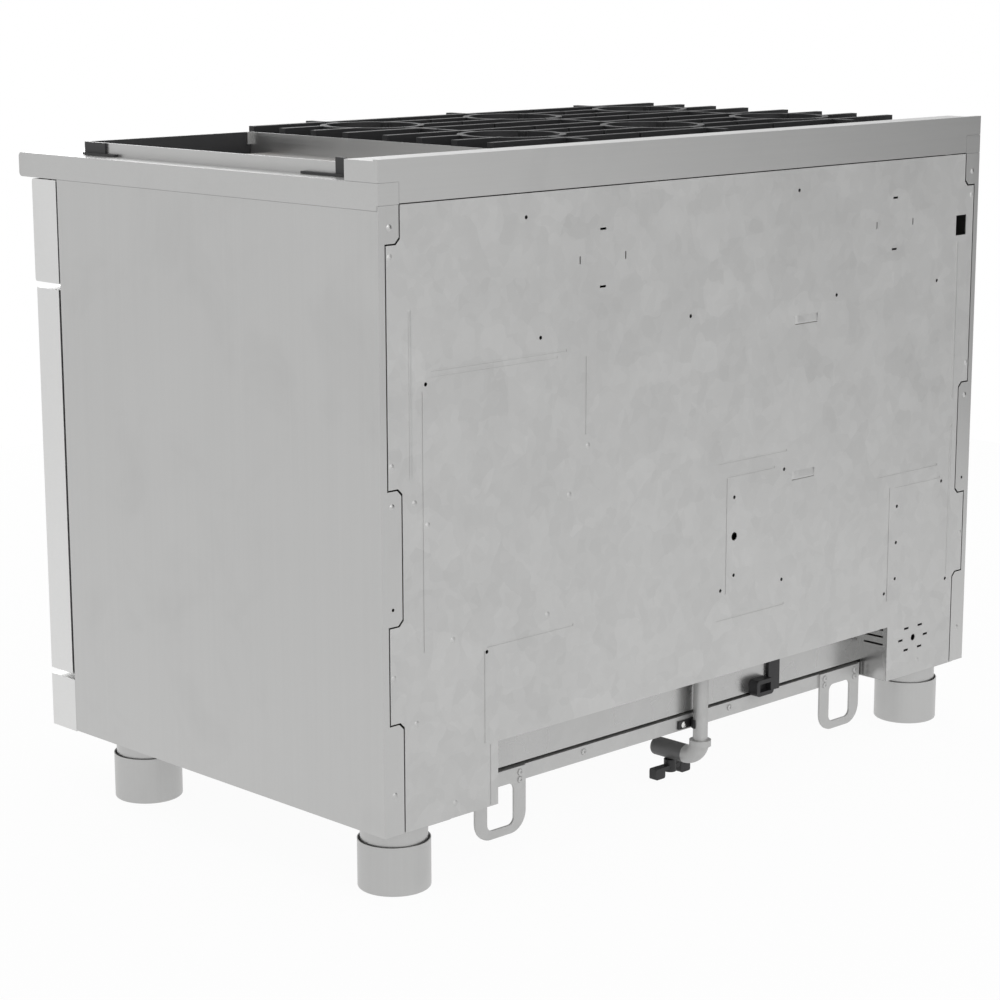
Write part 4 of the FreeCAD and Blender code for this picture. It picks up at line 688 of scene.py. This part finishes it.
class RANGE_OT_knob_trim(bpy.types.Operator):
    """Plated ring behind each knob, marks round it and a pointer on the knob"""

    bl_idname = "range.knob_trim"
    bl_label = "Knob trim"

    def execute(self, context):
        trim = context.scene.range_trim
        boxes = [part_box(name) for name in KNOBS]
        centres = [((a.x + b.x) / 2, PANEL_FACE, (a.z + b.z) / 2) for a, b in boxes]
        r = trim.bezel_radius
        ring = [(0.0075, 0.0), (0.0075, 0.0010), (r - 0.004, 0.0010), (r - 0.0032, 0.0026),
                (r - 0.0012, 0.0030), (r, 0.0018), (r, 0.0)]
        chrome = plated("bezel_chrome", (0.82, 0.82, 0.83))
        grids = turned(ring, centres, (0, -1, 0), 64)
        mesh_from_grids("knob_bezels", grids, "chassis", chrome, closed_rows=True)
        marks = satin_black("dial_marks", (0.02, 0.02, 0.02))
        angle = np.radians(90 - np.array(DIAL_SWEEP))
        reach = r + DIAL_GAP
        spots = [(x + reach * math.cos(a), y, z + reach * math.sin(a)) for x, y, z in centres for a in angle]
        dots = turned(dome(0.0011, 0.0002), spots, (0, -1, 0), 12)
        mesh_from_grids("dial_marks", dots, "chassis", marks)
        white = moulded("pointer_white", (0.78, 0.78, 0.76), 0.4)
        section = [(0.0, 0.0002), (0.0, -0.0003), (-0.0009, -0.0004), (-0.0009, 0.0002)]
        outline, outward = rounded_rectangle(-0.0010, 0.0010, 0.004, 0.0165, 0.0009, 4)
        for name, (a, b) in zip(KNOBS, boxes):
            path = outline + np.array(((a.x + b.x) / 2, a.y, (a.z + b.z) / 2))
            grid = carried(path, outward, section)
            mesh_from_grids("pointer_" + name[5:], grid, name, white, closed_rows=True)
        return {"FINISHED"}


class RANGE_OT_gaskets(bpy.types.Operator):
    """Woven seal on the back of each oven door"""

    bl_idname = "range.gaskets"
    bl_label = "Door gaskets"

    def execute(self, context):
        width = context.scene.range_trim.gasket_width
        cloth = braid("gasket_braid", (0.42, 0.41, 0.38))
        a = np.linspace(0, 2 * np.pi, 14, endpoint=False)
        section = np.stack([width / 2 * np.cos(a), GASKET_HALF + GASKET_HALF * np.sin(a)], -1)
        for oven in OVENS:
            low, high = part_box("oven_box_" + oven)
            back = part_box("door_liner_" + oven)[1].y
            sides = (low.x + GASKET_INSET, high.x - GASKET_INSET,
                     low.z + GASKET_INSET, high.z - GASKET_INSET)
            path, outward = rounded_rectangle(*sides, GASKET_CORNER)
            path = path + np.array((0.0, back, 0.0))
            mesh_from_grids("gasket_" + oven, carried(path, outward, section), "door_" + oven, cloth,
                            closed_rows=True)
        return {"FINISHED"}


class RANGE_OT_electrodes(bpy.types.Operator):
    """Spark electrode beside each burner: a ceramic body and its wire tip"""

    bl_idname = "range.electrodes"
    bl_label = "Spark electrodes"

    def execute(self, context):
        height = context.scene.range_trim.electrode_height
        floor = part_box("burner_wells")[0].z + WELL_FLOOR
        boxes = [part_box(name) for name in GRATES]
        places = [((a.x + b.x) / 2 + ELECTRODE_REACH, (a.y + b.y) / 2 + ELECTRODE_REACH, floor)
                  for a, b in boxes]
        clay = [(0.0, 0.0), (0.0055, 0.0), (0.0055, 0.004), (0.0032, 0.0055), (0.0032, height - 0.003),
                (0.0022, height), (0.0, height)]
        mesh_from_grids("electrode_bodies", turned(clay, places, (0, 0, 1), 16), "chassis",
                        fired_clay("electrode_clay", (0.78, 0.76, 0.70)))
        tip = [(0.0, height - 0.001), (0.0009, height - 0.001), (0.0009, height + 0.003),
               (0.0, height + 0.0036)]
        mesh_from_grids("electrode_tips", turned(tip, places, (0, 0, 1), 10), "chassis",
                        pipe_metal("electrode_wire", (0.45, 0.44, 0.43), 0.9))
        return {"FINISHED"}


# ---- stage -------------------------------------------------------------------------------------
ROOM_LIGHT = 0.60  # world's strength for diffuse rays
DIM_SIDE = (-0.97, 0.10, 0.20)  # direction in which the room looks darker to gloss
MIDDLE = (0.0, 0.0, 0.45)  # what the lamps point at
SENSOR_WIDTH = 36.0
LAMP_SIZE = 3.0


def aim(place, target):
    """Matrix of a lamp at place that shines at target."""
    turn = (Vector(target) - Vector(place)).to_track_quat("-Z", "Y")
    return Matrix.Translation(Vector(place)) @ turn.to_matrix().to_4x4()


def softbox(name, place, watts):
    lamp = bpy.data.lights.new(name, "AREA")
    lamp.shape = "SQUARE"
    lamp.size = LAMP_SIZE
    lamp.energy = watts
    stand = bpy.data.objects.new(name, lamp)
    bpy.context.scene.collection.objects.link(stand)
    stand.matrix_world = aim(place, MIDDLE)


def floor_material():
    """Pale floor that looks white to the camera and to gloss, and keeps a faint shadow."""
    material = bpy.data.materials.new("floor_white")
    material.use_nodes = True
    material.node_tree.nodes.clear()
    nodes = Nodes(material.node_tree)
    glow_share = nodes.ray("Camera").maximum(nodes.ray("Glossy")) * 0.95
    matt = nodes.node("ShaderNodeBsdfDiffuse", None, {"Color": (0.88, 0.88, 0.88, 1.0)})
    glow = nodes.node("ShaderNodeEmission")
    nodes.node("ShaderNodeOutputMaterial", None,
               {"Surface": nodes.node("ShaderNodeMixShader", None, {0: glow_share, 1: matt, 2: glow})})
    return material


def white_world():
    """World that is white to the camera and even to the lighting, and a wall of light to gloss and glass.

    To gloss it is bright on all sides but one. There it falls off smoothly, as a room does beside a softbox.
    """
    world = bpy.data.worlds.new("white_room")
    bpy.context.scene.world = world
    world.use_nodes = True
    nodes = Nodes(world.node_tree)
    sky = world.node_tree.nodes["Background"]
    sky.inputs["Color"].default_value = (1.0, 1.0, 1.0, 1.0)
    towards = nodes.dot(nodes.node("ShaderNodeTexCoord", output="Generated"), DIM_SIDE)
    wall = nodes.node("ShaderNodeMapRange", {"interpolation_type": "SMOOTHSTEP"},
                      {"Value": towards, "From Min": 0.77, "From Max": 0.855, "To Min": 0.94, "To Max": 0.02})
    shiny = nodes.ray("Glossy").maximum(nodes.ray("Transmission"))
    level = shiny * (wall - ROOM_LIGHT) + ROOM_LIGHT
    camera = nodes.ray("Camera")
    nodes.feed(sky.inputs["Strength"], level * (1.0 - camera) + camera)


def camera_turn(azimuth, elevation, roll):
    """Matrix of a camera at those angles round the range, in degrees: its right, its up and its back."""
    a, e, r = (math.radians(angle) for angle in (azimuth, elevation, roll))
    back = Vector((math.sin(a) * math.cos(e), -math.cos(a) * math.cos(e), math.sin(e)))
    right = Vector((0.0, 0.0, 1.0)).cross(back).normalized()
    up = back.cross(right)
    turned_right = math.cos(r) * right + math.sin(r) * up
    turned_up = math.cos(r) * up - math.sin(r) * right
    return Matrix((turned_right, turned_up, back)).transposed().to_4x4()


class RANGE_OT_stage(bpy.types.Operator):
    """Floor, white room, lamps and camera"""

    bl_idname = "range.stage"
    bl_label = "Stage"

    def execute(self, context):
        stage = context.scene.range_stage
        size = stage.floor_radius
        data = bpy.data.meshes.new("floor")
        corners = [(-size, -size, 0.0), (size, -size, 0.0), (size, size, 0.0), (-size, size, 0.0)]
        data.from_pydata(corners, [], [(0, 1, 2, 3)])
        data.materials.append(floor_material())
        floor = bpy.data.objects.new("floor", data)
        context.scene.collection.objects.link(floor)
        white_world()
        softbox("key_lamp", (0.8, 4.2, 2.6), stage.key)
        softbox("fill_lamp", (-1.4, -4.2, 2.4), stage.fill)
        softbox("top_lamp", (0.0, 0.0, 4.2), stage.top)
        lens = bpy.data.cameras.new("camera")
        lens.lens = stage.lens
        lens.sensor_width = SENSOR_WIDTH
        lens.clip_end = 50.0
        camera = bpy.data.objects.new("camera", lens)
        context.scene.collection.objects.link(camera)
        turn = camera_turn(stage.azimuth, stage.elevation, stage.roll)
        camera.matrix_world = Matrix.Translation(Vector(stage.camera)) @ turn
        context.scene.camera = camera
        context.scene.view_settings.view_transform = "Standard"
        return {"FINISHED"}


class RANGE_PT_build(bpy.types.Panel):
    """The range's pieces and what they are made from"""

    bl_idname = "RANGE_PT_build"
    bl_label = "Gas range"
    bl_space_type = "VIEW_3D"
    bl_region_type = "UI"
    bl_category = "Range"

    def draw(self, context):
        for operator in OPERATORS:
            self.layout.operator(operator.bl_idname)
        for group in ("range_finishes", "range_trim", "range_stage"):
            settings = getattr(context.scene, group)
            for name in settings.__annotations__:
                self.layout.prop(settings, name)


OPERATORS = (RANGE_OT_finishes, RANGE_OT_bridges, RANGE_OT_rail_screws, RANGE_OT_knob_trim, RANGE_OT_gaskets,
             RANGE_OT_electrodes, RANGE_OT_stage)
GROUPS = {"range_finishes": RANGE_PG_finishes, "range_trim": RANGE_PG_trim, "range_stage": RANGE_PG_stage}


def register():
    for group in GROUPS.values():
        bpy.utils.register_class(group)
    for operator in OPERATORS:
        bpy.utils.register_class(operator)
    bpy.utils.register_class(RANGE_PT_build)
    for name, group in GROUPS.items():
        setattr(bpy.types.Scene, name, bpy.props.PointerProperty(type=group))


def unregister():
    for name in GROUPS:
        delattr(bpy.types.Scene, name)
    bpy.utils.unregister_class(RANGE_PT_build)
    for group in reversed(OPERATORS + tuple(GROUPS.values())):
        bpy.utils.unregister_class(group)


def main():
    register()
    for operator in OPERATORS:
        step = operator.bl_idname.split(".")[1]
        getattr(bpy.ops.range, step)()


if __name__ == "__main__":
    main()
